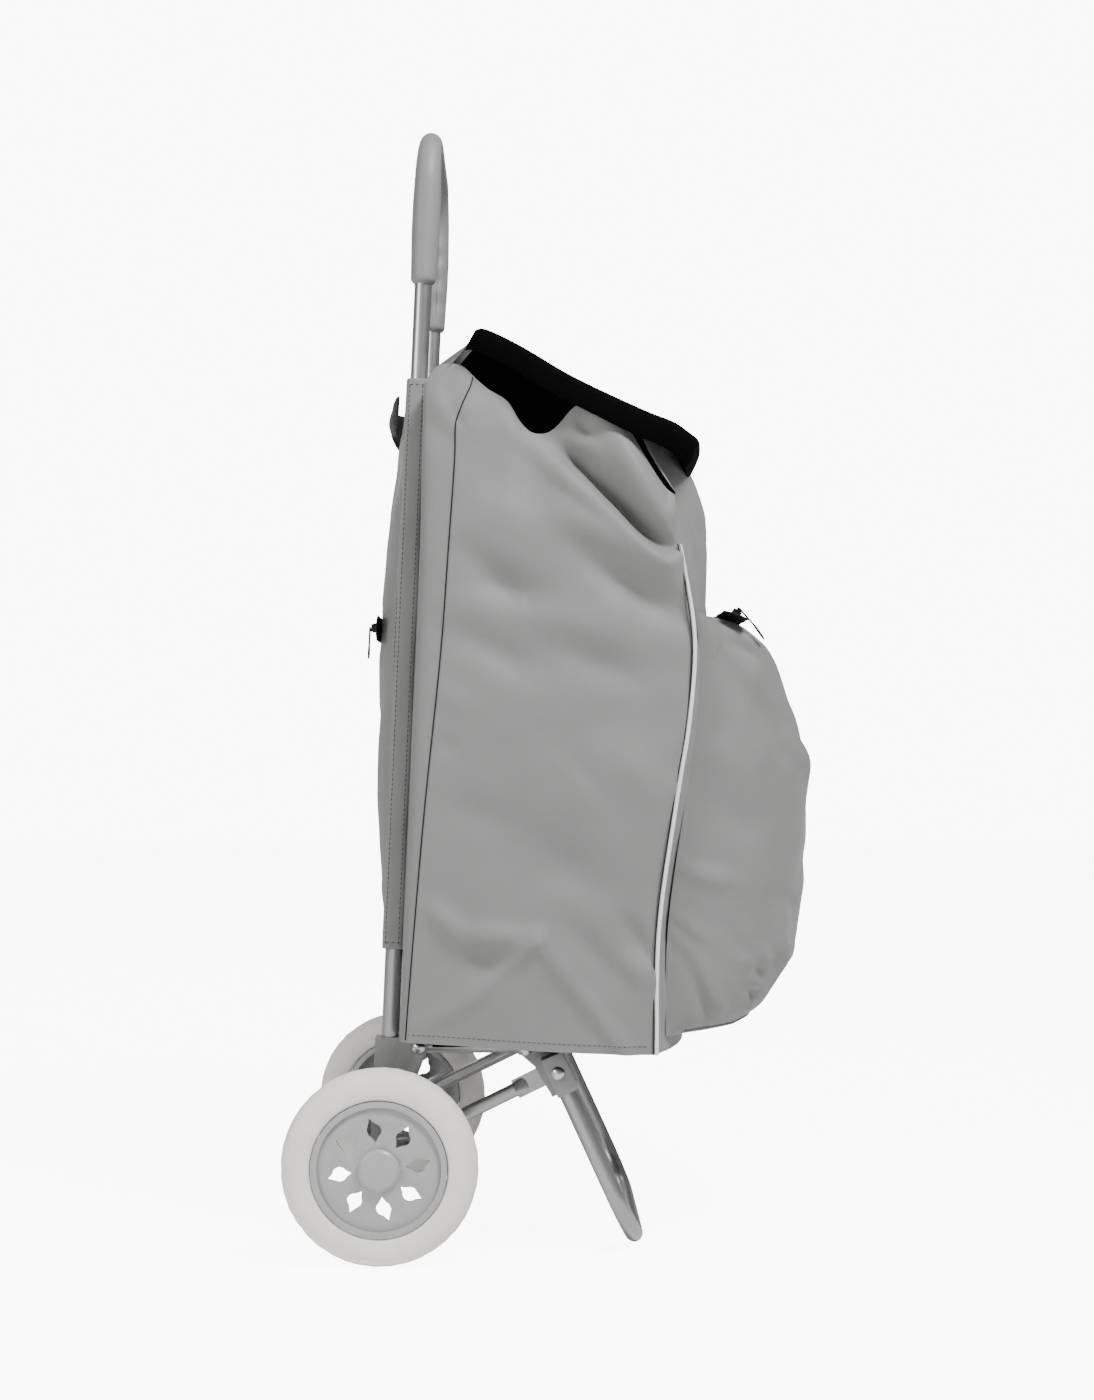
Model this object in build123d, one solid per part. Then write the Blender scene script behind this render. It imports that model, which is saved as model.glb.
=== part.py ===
from build123d import *
from math import atan2, cos, hypot, radians, sin, tan
import os

os.makedirs("parts", exist_ok=True)

# A folding shopping trolley. X runs along the axle, the pocket faces -Y, the
# handle is on the +Y side and +Z is up. Millimetres. The design is laid out in
# a side plane: f is forward from the axle, r is up from the axle.

# Wheels and axle
WHEEL_DIAMETER = 165.0
WHEEL_TRACK = 345.5
TYRE_WIDTH = 34.0
TYRE_CROWN = 5.0
HUB_DIAMETER = 113.0
HUB_WIDTH = 31.0
HUB_RIM_WALL = 5.0
HUB_PLATE_DIAMETER = 95.0
HUB_PLATE_THICKNESS = 3.0
HUB_PLATE_OUT = 13.0
HUB_BOSS_DIAMETER = 24.0
HUB_BOSS_IN = 17.0
HUB_CAP_DIAMETER = 35.0
HUB_CAP_HEIGHT = 6.0
HUB_CAP_WALL = 1.6
HUB_RIB_THICKNESS = 2.4
LEAF_COUNT = 8
LEAF_DIAMETER = 13.0
LEAF_CENTRE_RADIUS = 32.4
LEAF_TIP_RADIUS = 43.0
LEAF_BASE_RADIUS = 22.5
LEAF_FIRST_ANGLE = 6.7
LEAF_CURL_ANGLE = 4.0
AXLE_DIAMETER = 10.0
AXLE_PAST_HUB = 4.0
PUSH_NUT_THICKNESS = 1.2
PUSH_NUT_DIAMETER = 22.0
SPACER_WALL = 2.5
RUNNING_FIT = 0.05

# Handle and uprights
OVERALL_HEIGHT = 971.0
UPRIGHT_SPACING = 208.0
UPRIGHT_LEAN = 2.52
TUBE_DIAMETER = 15.0
TUBE_WALL = 1.2
HANDLE_CORNER_RADIUS = 42.0
GRIP_DIAMETER = 23.0
GRIP_DROP = 142.0
TUBE_END_RISE = 9.0

# Corner brackets
BRACKET_WIDTH = 19.0
BRACKET_LOBE_RADIUS = 13.0
BRACKET_TOP_RISE = 98.5
BRACKET_WRAP = 12.3
LUG_RADIUS = 8.0
FORK_GAP = 0.3
SCREW_RISE = 58.0
SCREW_DIAMETER = 5.0

# Platform
PLATFORM_TUBE = 12.0
PLATFORM_WALL = 1.0
PLATFORM_PIVOT_F = 29.2
PLATFORM_RISE = 90.1
PLATFORM_REACH = 212.0
PLATFORM_CORNER_RADIUS = 30.0
CROSS_ROD_DIAMETER = 6.0
CROSS_ROD_SHARES = (0.36, 0.76, 1.42)
BOLT_DIAMETER = 6.0
BOLT_HEAD_DIAMETER = 11.0
BOLT_HEAD_HEIGHT = 4.0
NUT_FLATS = 10.0
NUT_THICKNESS = 4.0

# Leg, foot and struts
LEG_PIVOT_F = 120.7
STRUT_PIVOT_F = 148.2
STRUT_PIVOT_RISE = 72.6
LEG_RAKE = 24.7
LEG_OUTSET = 28.0
LEG_ABOVE_BOLT = 13.0
FOOT_CORNER_RADIUS = 50.0
STRUT_TUBE = 12.0
STRUT_OUTSET = 16.3
STRUT_FLAT_INSET = 1.3
STRUT_FLAT = 3.0
STRUT_FLAT_WIDTH = 16.8
STRUT_FRONT_FLAT = 40.0
STRUT_REAR_FLAT = 24.0
STRUT_TAPER = 12.0
STRUT_EYE_RADIUS = 11.0
STRUT_FORK_REACH = 11.0
STRUT_SLOT_SIDE = 3.1
LEG_PIVOT_RADIUS = 6.0
LEG_BLOCK_DOWN = 19.5
LEG_BLOCK_WALL = 3.0
SIDE_GAP = 0.3

# Bag
BAG_WIDTH = 320.0
FABRIC = 1.6
BAG_BACK_GAP = 10.2
BAG_BACK_TOP = 669.5
BAG_HEM_RISE = 90.5
BAG_REAR_HEM_RISE = 101.0
BAG_FRONT_BULGE = 31.0
TOP_TURN_IN = 15.0
TOP_TURN_RISE = 28.0
SLEEVE_HALF = 9.9
SLEEVE_WIDTH = 25.0
SLEEVE_BOTTOM = 174.5
SLEEVE_TOP = 664.0
RIDGE_F = 78.8
RIDGE_RISE = 695.5
LID_FRONT_F = 266.0
LID_FRONT_RISE = 608.0
LID_OVERHANG = 7.0
LID_THICKNESS = 3.0
LID_SKIRT = 22.0
LID_SKIRT_WALL = 2.0
LID_FRONT_LIP = 6.0
LID_BULGE = 16.0
HINGE_TAPE_SETBACK = 4.5
HINGE_TAPE_WIDTH = 10.0
HINGE_TAPE_THICKNESS = 1.2
COLLAR_BOTTOM = 540.0
COLLAR_FRONT_GAP = 22.0
PIPING_DIAMETER = 4.0
BOARD_THICKNESS = 3.0
BOARD_REAR_F = 43.0
BOARD_FRONT_F = 225.0
POCKET_INSET = 18.0
POCKET_REACH = 374.8
POCKET_TOP_RISE = 461.5
POCKET_BOTTOM_RISE = 104.0
BACK_POCKET_GAP = 3.5
BACK_POCKET_BULGE = 28.0
BACK_POCKET_BOTTOM = 165.0
BACK_ZIP_SHARE = 0.58
ZIP_TAPE_WIDTH = 24.0
ZIP_TAPE_THICKNESS = 1.2
FRONT_ZIP_INSET = 13.0
BACK_ZIP_INSET = 8.0
ZIP_SLIDER = (11.0, 8.0, 4.5)
ZIP_END = 12.0
PULL_LENGTH = 22.0
PULL_WIDTH = 5.0
PULL_RING_RADIUS = 6.0
PULL_EYE_RADIUS = 3.4
PULL_THICKNESS = 1.4
GRAB_WIDTH = 124.0
GRAB_STRAP = 36.0
GRAB_BOW = 10.0
GRAB_PAD = 14.0
GRAB_THICKNESS = 2.5

# Values worked out from the dimensions above
WHEEL_R = WHEEL_DIAMETER / 2
AXLE_Y = (POCKET_REACH - WHEEL_R) / 2
LEAN = radians(UPRIGHT_LEAN)
UPRIGHT_X = UPRIGHT_SPACING / 2
LEG_X = UPRIGHT_X + LEG_OUTSET
STRUT_X = UPRIGHT_X + STRUT_OUTSET
BRACKET_IN = UPRIGHT_X - BRACKET_WIDTH / 2
BRACKET_OUT = UPRIGHT_X + BRACKET_WIDTH / 2
PLATE_X = STRUT_X - STRUT_FLAT_INSET
BAG_X = BAG_WIDTH / 2
PANEL_X = BAG_X - FABRIC - SIDE_GAP
LID_WIDTH = BAG_WIDTH + 2 * LID_OVERHANG
POCKET_WIDTH = BAG_WIDTH - 2 * POCKET_INSET
FRONT_ZIP_LENGTH = POCKET_WIDTH - 2 * FRONT_ZIP_INSET
BACK_POCKET_WIDTH = UPRIGHT_SPACING - SLEEVE_WIDTH - 2 * BACK_POCKET_GAP
BACK_ZIP_LENGTH = BACK_POCKET_WIDTH - 2 * BACK_ZIP_INSET
PLATFORM_TOP = PLATFORM_RISE + PLATFORM_TUBE / 2
RAKE = radians(LEG_RAKE)
LEG_DOWN = (sin(RAKE), -cos(RAKE))
FOOT_RISE = TUBE_DIAMETER / 2 - WHEEL_R
HUB_IN = WHEEL_TRACK / 2 - HUB_BOSS_IN
HUB_FACE = WHEEL_TRACK / 2 + HUB_PLATE_OUT
HANDLE_RISE = OVERALL_HEIGHT - GRIP_DIAMETER / 2 - WHEEL_R
# The bag's front corner seam, from the hem up to the rim, as (f, r)
FRONT_CORNER = [(228.8, BAG_HEM_RISE), (230.8, 195.5), (245.8, 303.5), (260.8, 437.5),
                (252.0, 504.5), (249.8, 560.5)]


def at(x, f, r):
    """Row position of a point that lies f forward and r above the axle."""
    return Vector(x, AXLE_Y - f, WHEEL_R + r)


def lean_point(n, s):
    """Side-plane point n in front of the uprights' axis and s along it."""
    return (s * sin(LEAN) + n * cos(LEAN), s * cos(LEAN) - n * sin(LEAN))


def upright_f(r):
    """How far forward the uprights' axis is at height r."""
    return r * tan(LEAN)


def prism(points, x_low, x_high):
    """A straight-sided outline in the side plane, extruded across."""
    corners = [at(x_low, f, r) for f, r in points]
    face = make_face(Polyline(*corners, close=True))
    return extrude(face, amount=x_high - x_low, dir=(1, 0, 0))


def rod(x_low, x_high, f, r, diameter):
    """A round bar along X."""
    plane = Plane(origin=at(x_low, f, r), x_dir=(0, 1, 0), z_dir=(1, 0, 0))
    return extrude(plane * Circle(diameter / 2), amount=x_high - x_low)


def pipe(path, start, direction, diameter):
    """A round bar along a path."""
    return sweep(Plane(origin=start, z_dir=direction) * Circle(diameter / 2), path=path)


def u_path(half_width, low, high, radius):
    """A U from a point on +X, over, and down to the same point on -X."""
    corners = [at(half_width, *low), at(half_width, *high)]
    corners += [at(-half_width, *high), at(-half_width, *low)]
    along = (corners[1] - corners[0]).normalized()
    return FilletPolyline(*corners, radius=radius), corners[0], along


def capsule(point_a, radius_a, point_b, radius_b, x_low, x_high):
    """A link plate: two rounded ends and the tangent sides between them."""
    plane = Plane(origin=at(x_low, 0, 0), x_dir=(0, -1, 0), z_dir=(-1, 0, 0))
    ends = [Pos(*point_a) * Circle(radius_a), Pos(*point_b) * Circle(radius_b)]
    hull = make_hull(ends[0].edges() + ends[1].edges())
    return extrude(plane * hull, amount=x_high - x_low, dir=(1, 0, 0))


def mirrored(shape):
    return mirror(shape, about=Plane.YZ)


def save(shape, name):
    """Write one sub-part, as a solid or as a group of separate solids."""
    solids = shape.solids()
    body = solids[0] if len(solids) == 1 else Compound(children=list(solids))
    body.label = name
    export_step(body, f"parts/{name}.step")
    print(name, len(solids), round(sum(s.volume for s in solids) / 1000, 2), "cm3")


def both_sides(shape, name):
    """The +X piece is the right one, seen by the person who pushes."""
    save(shape, f"right_{name}")
    save(mirrored(shape), f"left_{name}")


# ---- wheels and axle ----

def ring_about_axle(profile):
    """Revolve (radius, x) points about the axle line."""
    corners = [at(x, 0, radius) for radius, x in profile]
    face = make_face(Polyline(*corners, close=True))
    return revolve(face, axis=Axis(at(0, 0, 0), (1, 0, 0)))


def tyre():
    """Foamed tyre with a crowned tread, seated on the hub's rim."""
    mid = WHEEL_TRACK / 2
    half = TYRE_WIDTH / 2
    seat = HUB_DIAMETER / 2 + RUNNING_FIT
    shoulder = WHEEL_R - TYRE_CROWN
    profile = [(seat, mid - half + 3), (seat + 6, mid - half), (shoulder, mid - half),
               (WHEEL_R, mid - half + 7), (WHEEL_R, mid + half - 7), (shoulder, mid + half),
               (seat + 6, mid + half), (seat, mid + half - 3)]
    return ring_about_axle(profile)


def leaf_hole(angle):
    """One leaf-shaped window: a round middle with a curled tip and a pointed base."""
    half = LEAF_DIAMETER / 2
    curl = LEAF_TIP_RADIUS * tan(radians(LEAF_CURL_ANGLE))
    tip = Polyline((-half, LEAF_CENTRE_RADIUS), (curl, LEAF_TIP_RADIUS), (half, LEAF_CENTRE_RADIUS),
                   (0, LEAF_BASE_RADIUS), close=True)
    outline = make_face(tip) + Pos(0, LEAF_CENTRE_RADIUS) * Circle(half * 0.94)
    return Rot(0, 0, -angle) * outline


def hub():
    """Moulded hub: rim, web plate with windows, ribs behind it, and the boss."""
    mid = WHEEL_TRACK / 2
    rim_r = HUB_DIAMETER / 2
    rim_in = rim_r - HUB_RIM_WALL
    half = HUB_WIDTH / 2
    boss_r = HUB_BOSS_DIAMETER / 2
    bore_r = AXLE_DIAMETER / 2 + RUNNING_FIT
    body = ring_about_axle([(rim_in, mid - half), (rim_r, mid - half), (rim_r, mid + half),
                            (rim_in, mid + half)])
    plate_in = HUB_FACE - HUB_PLATE_THICKNESS
    body += ring_about_axle([(bore_r, plate_in), (rim_in + 1, plate_in - 2), (rim_in + 1, HUB_FACE - 2),
                             (HUB_PLATE_DIAMETER / 2, HUB_FACE), (bore_r, HUB_FACE)])
    boss_out = plate_in + 1
    body += ring_about_axle([(bore_r, HUB_IN), (boss_r, HUB_IN), (boss_r, boss_out), (bore_r, boss_out)])
    plane = Plane(origin=at(mid - half + 4, 0, 0), x_dir=(0, 1, 0), z_dir=(1, 0, 0))
    for turn in range(LEAF_COUNT):
        angle = LEAF_FIRST_ANGLE + (turn + 0.5) * 360 / LEAF_COUNT
        rib = Rectangle(HUB_RIB_THICKNESS, rim_in - boss_r + 2)
        rib = Rot(0, 0, -angle) * Pos(0, (boss_r + rim_in) / 2) * rib
        body += extrude(plane * rib, amount=plate_in - mid + half - 3)
    for turn in range(LEAF_COUNT):
        leaf = leaf_hole(LEAF_FIRST_ANGLE + turn * 360 / LEAF_COUNT)
        body -= extrude(plane * leaf, amount=HUB_WIDTH)
    return body


def hub_cap():
    """Domed cap pressed over the axle's end."""
    cap_r = HUB_CAP_DIAMETER / 2
    low = HUB_FACE + RUNNING_FIT
    high = low + HUB_CAP_HEIGHT
    inner = cap_r - HUB_CAP_WALL
    under = high - HUB_CAP_WALL
    return ring_about_axle([(0, high), (0, under), (inner - 3, under), (inner, high - 3.4),
                            (inner, low), (cap_r, low), (cap_r, high - 2.4), (cap_r - 3, high)])


def axle():
    half = HUB_FACE + AXLE_PAST_HUB
    return rod(-half, half, 0, 0, AXLE_DIAMETER)


def sleeve_on_axle(x_low, x_high, outer_diameter):
    bore_r = AXLE_DIAMETER / 2 + RUNNING_FIT
    outer_r = outer_diameter / 2
    return ring_about_axle([(bore_r, x_low), (outer_r, x_low), (outer_r, x_high), (bore_r, x_high)])


def wheel_spacers():
    """Washer inside each strut's eye and a long spacer between the eye and the hub."""
    outer = AXLE_DIAMETER + 2 * SPACER_WALL
    eye_in = PLATE_X - STRUT_FLAT / 2
    eye_out = PLATE_X + STRUT_FLAT / 2
    one_side = [sleeve_on_axle(BRACKET_OUT + 0.1, eye_in - 0.1, outer + 3),
                sleeve_on_axle(eye_out + 0.1, HUB_IN - 0.3, outer)]
    return Compound(children=one_side + [mirrored(piece) for piece in one_side])


def axle_push_nuts():
    """Spring washers that keep the wheels on."""
    low = HUB_FACE + 0.3
    nut = sleeve_on_axle(low, low + PUSH_NUT_THICKNESS, PUSH_NUT_DIAMETER)
    return Compound(children=[nut, mirrored(nut)])


# ---- handle ----

def handle_frame():
    """Uprights and handle bent from one tube."""
    low = lean_point(0, TUBE_END_RISE)
    high = lean_point(0, HANDLE_RISE / cos(LEAN))
    path, start, along = u_path(UPRIGHT_X, low, high, HANDLE_CORNER_RADIUS)
    bore = TUBE_DIAMETER - 2 * TUBE_WALL
    return pipe(path, start, along, TUBE_DIAMETER) - pipe(path, start, along, bore)


def handle_grip():
    """Soft sleeve over the top of the handle."""
    top = HANDLE_RISE / cos(LEAN)
    low = lean_point(0, top + GRIP_DIAMETER / 2 - GRIP_DROP)
    path, start, along = u_path(UPRIGHT_X, low, lean_point(0, top), HANDLE_CORNER_RADIUS)
    bore = TUBE_DIAMETER + 2 * RUNNING_FIT
    return pipe(path, start, along, GRIP_DIAMETER) - pipe(path, start, along, bore)


# ---- corner brackets ----

def corner_bracket():
    """Socket for the upright, bearing for the axle and fork for the platform."""
    top_f = upright_f(BRACKET_TOP_RISE)
    pivot = (PLATFORM_PIVOT_F, PLATFORM_RISE)
    body = prism([(-BRACKET_LOBE_RADIUS + 0.5, 0), (top_f - BRACKET_WRAP, BRACKET_TOP_RISE),
                  (top_f + BRACKET_WRAP, BRACKET_TOP_RISE), (BRACKET_LOBE_RADIUS - 0.5, 0)],
                 BRACKET_IN, BRACKET_OUT)
    body += rod(BRACKET_IN, BRACKET_OUT, 0, 0, 2 * BRACKET_LOBE_RADIUS)
    body += prism([(0, BRACKET_TOP_RISE - 4), (0, 20), (BRACKET_LOBE_RADIUS, 24),
                   (pivot[0] + LUG_RADIUS * 0.86, pivot[1] - LUG_RADIUS * 0.5),
                   (pivot[0], pivot[1] + LUG_RADIUS), (top_f, BRACKET_TOP_RISE)], BRACKET_IN, BRACKET_OUT)
    body += rod(BRACKET_IN, BRACKET_OUT, *pivot, 2 * LUG_RADIUS)
    # Fork for the platform's arm
    half = PLATFORM_TUBE / 2 + FORK_GAP
    rear = PLATFORM_PIVOT_F - PLATFORM_TUBE / 2 - 4.7
    above = BRACKET_TOP_RISE + 5
    opening = [(rear, 0), (rear, above), (rear + 60, above), (rear + 60, 0)]
    body -= prism(opening, UPRIGHT_X - half, UPRIGHT_X + half)
    # Socket for the upright
    socket_start = at(UPRIGHT_X, *lean_point(0, TUBE_END_RISE - RUNNING_FIT))
    socket_end = at(UPRIGHT_X, *lean_point(0, BRACKET_TOP_RISE + 20))
    along = (socket_end - socket_start).normalized()
    body -= pipe(Line(socket_start, socket_end), socket_start, along, TUBE_DIAMETER + 2 * RUNNING_FIT)
    body -= rod(BRACKET_IN - 1, BRACKET_OUT + 1, 0, 0, AXLE_DIAMETER + 2 * RUNNING_FIT)
    body -= rod(BRACKET_IN - 1, BRACKET_OUT + 1, *pivot, BOLT_DIAMETER + 2 * RUNNING_FIT)
    # Pilot for the screw that holds the tube
    screw_f = upright_f(SCREW_RISE)
    body -= rod(BRACKET_IN - 1, UPRIGHT_X, screw_f, SCREW_RISE, SCREW_DIAMETER + 2 * RUNNING_FIT)
    return body


def bracket_screws():
    """Self-tapping screws, from the inner side into the uprights."""
    screw_f = upright_f(SCREW_RISE)
    screw = rod(BRACKET_IN - 2.5, BRACKET_IN, screw_f, SCREW_RISE, 2 * SCREW_DIAMETER - 1)
    tip = UPRIGHT_X - TUBE_DIAMETER / 2 - 0.2
    screw += rod(BRACKET_IN - 1, tip, screw_f, SCREW_RISE, SCREW_DIAMETER)
    return Compound(children=[screw, mirrored(screw)])


def bolt(x_inner, x_head, f, r):
    """Domed bolt along X with its head on the outer side, and its mirror twin."""
    head_r = BOLT_HEAD_DIAMETER / 2
    rim = 1.2
    dome = BOLT_HEAD_HEIGHT - rim
    dome_r = (dome ** 2 + head_r ** 2) / (2 * dome)
    ball_centre = x_head + BOLT_HEAD_HEIGHT - dome_r
    plane = Plane(origin=at(ball_centre, f, r), x_dir=(0, 1, 0), z_dir=(1, 0, 0))
    head = rod(x_head, x_head + 2 * BOLT_HEAD_HEIGHT, f, r, BOLT_HEAD_DIAMETER)
    head = head & (plane * Sphere(dome_r))
    body = head + rod(x_inner, x_head + rim / 2, f, r, BOLT_DIAMETER)
    return Compound(children=[body, mirrored(body)])


def nut(x_low, f, r):
    plane = Plane(origin=at(x_low, f, r), x_dir=(0, 1, 0), z_dir=(1, 0, 0))
    hexagon = RegularPolygon(NUT_FLATS / 2, 6, major_radius=False)
    ring = hexagon - Circle(BOLT_DIAMETER / 2 + RUNNING_FIT)
    body = extrude(plane * ring, amount=NUT_THICKNESS)
    return Compound(children=[body, mirrored(body)])


# ---- platform ----

def tube_ends_cut(f, r):
    """Cross hole for a bolt through both arms."""
    half = UPRIGHT_X + PLATFORM_TUBE
    return rod(-half, half, f, r, BOLT_DIAMETER + 2 * RUNNING_FIT)


def platform_frame():
    """Carrying frame bent from one tube, hinged on the corner brackets."""
    rear = (PLATFORM_PIVOT_F - 7.5, PLATFORM_RISE)
    front = (PLATFORM_REACH, PLATFORM_RISE)
    path, start, along = u_path(UPRIGHT_X, rear, front, PLATFORM_CORNER_RADIUS)
    tube = pipe(path, start, along, PLATFORM_TUBE)
    tube -= pipe(path, start, along, PLATFORM_TUBE - 2 * PLATFORM_WALL)
    for f in (PLATFORM_PIVOT_F, LEG_PIVOT_F):
        tube -= tube_ends_cut(f, PLATFORM_RISE)
    return tube


def platform_cross_rods():
    """Rods between the arms that carry the bag's bottom."""
    inner = UPRIGHT_X - PLATFORM_TUBE / 2 - 0.05
    span = LEG_PIVOT_F - PLATFORM_PIVOT_F
    places = [PLATFORM_PIVOT_F + share * span for share in CROSS_ROD_SHARES]
    rods = [rod(-inner, inner, f, PLATFORM_RISE, CROSS_ROD_DIAMETER) for f in places]
    return Compound(children=rods)


# ---- leg, foot and struts ----

def leg_point(distance):
    """Point on the leg's axis, measured down from the strut bolt."""
    return (STRUT_PIVOT_F + distance * LEG_DOWN[0], STRUT_PIVOT_RISE + distance * LEG_DOWN[1])


def foot_frame():
    """Front leg bent from one tube. Its cross part stands on the ground."""
    reach = (STRUT_PIVOT_RISE - FOOT_RISE) / cos(RAKE)
    top = leg_point(-LEG_ABOVE_BOLT)
    path, start, along = u_path(LEG_X, top, leg_point(reach), FOOT_CORNER_RADIUS)
    tube = pipe(path, start, along, TUBE_DIAMETER)
    tube -= pipe(path, start, along, TUBE_DIAMETER - 2 * TUBE_WALL)
    half = LEG_X + TUBE_DIAMETER
    tube -= rod(-half, half, STRUT_PIVOT_F, STRUT_PIVOT_RISE, BOLT_DIAMETER + 2 * RUNNING_FIT)
    return tube


def leg_outline(points):
    """Outline given as (across, down) about the strut bolt, along the leg's axis."""
    corners = []
    for across, down in points:
        f, r = leg_point(down)
        corners.append((f + across * cos(RAKE), r + across * sin(RAKE)))
    return corners


def leg_bracket():
    """Moulded knuckle: hinge plate on the platform and a socket for the leg."""
    inner_x = UPRIGHT_X + PLATFORM_TUBE / 2 + SIDE_GAP
    slot_in = PLATE_X - STRUT_FLAT / 2 - SIDE_GAP
    slot_out = PLATE_X + STRUT_FLAT / 2 + SIDE_GAP
    plate_x = slot_out + LEG_BLOCK_WALL
    outer_x = LEG_X + TUBE_DIAMETER / 2 + LEG_BLOCK_WALL
    pivot_b = (LEG_PIVOT_F, PLATFORM_RISE)
    pivot_c = (STRUT_PIVOT_F, STRUT_PIVOT_RISE)
    top = LEG_ABOVE_BOLT + 2
    front = TUBE_DIAMETER / 2 + LEG_BLOCK_WALL
    rear = front - 2
    plate = [(-2 * rear, -top), (-1.6 * rear, LEG_BLOCK_DOWN), (front - 2, LEG_BLOCK_DOWN),
             (front + 1, LEG_BLOCK_DOWN - 4), (front, -top)]
    block = [(-rear, -top), (-rear, LEG_BLOCK_DOWN)] + plate[2:]
    body = capsule(pivot_b, LEG_PIVOT_RADIUS, pivot_c, front, inner_x, plate_x)
    body += prism(leg_outline(plate), inner_x, plate_x)
    body += prism(leg_outline(block), inner_x, outer_x)
    # Slot for the strut's flat end, open to the rear and below
    fork = hypot(STRUT_FORK_REACH + 1, STRUT_FLAT_WIDTH / 2 + 0.5)
    slot = rod(slot_in, slot_out, *pivot_c, 2 * fork)
    wedge = [(-fork * 0.2, -fork * 0.9), (-4 * fork, 0.2 * fork), (-4 * fork, 4 * fork),
             (fork * 0.9, 4 * fork), (fork * 0.9, 0)]
    slot += prism(leg_outline(wedge), slot_in, slot_out)
    body -= slot
    # Socket for the leg's tube and holes for the bolts
    start = at(LEG_X, *leg_point(-LEG_ABOVE_BOLT - RUNNING_FIT))
    end = at(LEG_X, *leg_point(LEG_BLOCK_DOWN + 20))
    body -= pipe(Line(start, end), start, (end - start).normalized(), TUBE_DIAMETER + 2 * RUNNING_FIT)
    body -= rod(inner_x - 1, outer_x + 1, *pivot_b, BOLT_DIAMETER + 2 * RUNNING_FIT)
    body -= rod(inner_x - 1, outer_x + 1, *pivot_c, BOLT_DIAMETER + 2 * RUNNING_FIT)
    return body


def strut():
    """Brace from the axle to the leg: a tube flattened at both ends."""
    length = hypot(STRUT_PIVOT_F, STRUT_PIVOT_RISE)
    ahead = (STRUT_PIVOT_F / length, STRUT_PIVOT_RISE / length)

    def point(distance, side=0):
        return (distance * ahead[0] - side * ahead[1], distance * ahead[1] + side * ahead[0])

    half = STRUT_FLAT_WIDTH / 2
    plate = (PLATE_X - STRUT_FLAT / 2, PLATE_X + STRUT_FLAT / 2)
    body = capsule((0, 0), STRUT_EYE_RADIUS, point(STRUT_REAR_FLAT), half, *plate)
    tip = length + STRUT_FORK_REACH
    body += prism([point(length - STRUT_FRONT_FLAT, half), point(tip, half), point(tip, -half),
                   point(length - STRUT_FRONT_FLAT, -half)], *plate)
    start = at(STRUT_X, *point(STRUT_REAR_FLAT))
    end = at(STRUT_X, *point(length - STRUT_FRONT_FLAT))
    along = (end - start).normalized()
    body += pipe(Line(start, end), start, along, STRUT_TUBE)
    # The tube's ends are pressed flat, so they taper into the plates
    for distance, way in ((STRUT_REAR_FLAT, 1), (length - STRUT_FRONT_FLAT, -1)):
        flat_end = at(PLATE_X, *point(distance - way * STRUT_TAPER))
        tube_end = at(STRUT_X, *point(distance + 2 * way))
        near = Plane(origin=flat_end, x_dir=(1, 0, 0), z_dir=way * along)
        far = Plane(origin=tube_end, x_dir=(1, 0, 0), z_dir=way * along)
        body += loft([near * Ellipse(STRUT_FLAT / 2, half), far * Circle(STRUT_TUBE / 2)])
    body -= rod(plate[0] - 1, plate[1] + 1, 0, 0, AXLE_DIAMETER + 2 * RUNNING_FIT)
    # Open-ended slot for the strut bolt
    slot_r = BOLT_DIAMETER / 2 + STRUT_SLOT_SIDE
    mouth = point(length + 2 * STRUT_FORK_REACH)
    body -= capsule(point(length), slot_r, mouth, slot_r, plate[0] - 1, plate[1] + 1)
    return body


# ---- bag ----

def front_volume(shift, half_width):
    """The space behind the bulging front panel, its surface moved out by shift."""
    sections = []
    turned_in = (FRONT_CORNER[-1][0] - TOP_TURN_IN, FRONT_CORNER[-1][1] + TOP_TURN_RISE)
    for f, r in FRONT_CORNER + [turned_in]:
        edge = f + shift
        left = at(-half_width, edge, r)
        right = at(half_width, edge, r)
        arc = ThreePointArc(left, at(0, edge + BAG_FRONT_BULGE, r), right)
        back = Polyline(right, at(half_width, edge - 60, r), at(-half_width, edge - 60, r), left)
        sections.append(make_face(arc + back))
    return loft(sections, ruled=True)


def bag_front_panel():
    outer = front_volume(0, PANEL_X)
    return (outer - front_volume(-FABRIC, PANEL_X + 3)).solids().sort_by(Axis.Y)[0]


def back_line(n, r):
    """Point at height r on a plane n in front of the uprights' axis."""
    return (upright_f(r) + n / cos(LEAN), r)


def rim_line():
    """The bag's open edge at the side, from the back panel to the front corner."""
    top = FRONT_CORNER[-1]
    back = back_line(BAG_BACK_GAP, BAG_BACK_TOP)
    span = top[0] - back[0]
    drop = back[1] - top[1]
    return [(back[0], back[1] - 6), (back[0] + 0.17 * span, back[1] - 8),
            (back[0] + 0.42 * span, back[1] - 0.5 * drop),
            (back[0] + 0.72 * span, back[1] - 0.42 * drop), top]


def bag_side_panel():
    rear_bottom = back_line(BAG_BACK_GAP, BAG_REAR_HEM_RISE)
    outline = FRONT_CORNER[:-1] + rim_line()[::-1] + [rear_bottom]
    return prism(outline, BAG_X - FABRIC, BAG_X)


def bag_back_panel():
    """Back panel in front of the uprights, with the strip up to the lid's ridge."""
    bottom = BAG_REAR_HEM_RISE
    top = BAG_BACK_TOP
    near = BAG_BACK_GAP
    far = BAG_BACK_GAP + FABRIC
    top_f = back_line(near, top)[0]
    outline = [back_line(near, bottom), (top_f, top), (RIDGE_F - 1, RIDGE_RISE),
               (RIDGE_F - 1, RIDGE_RISE - FABRIC * 1.2), (top_f + FABRIC, top - FABRIC),
               back_line(far, bottom)]
    return prism(outline, -PANEL_X, PANEL_X)


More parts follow.
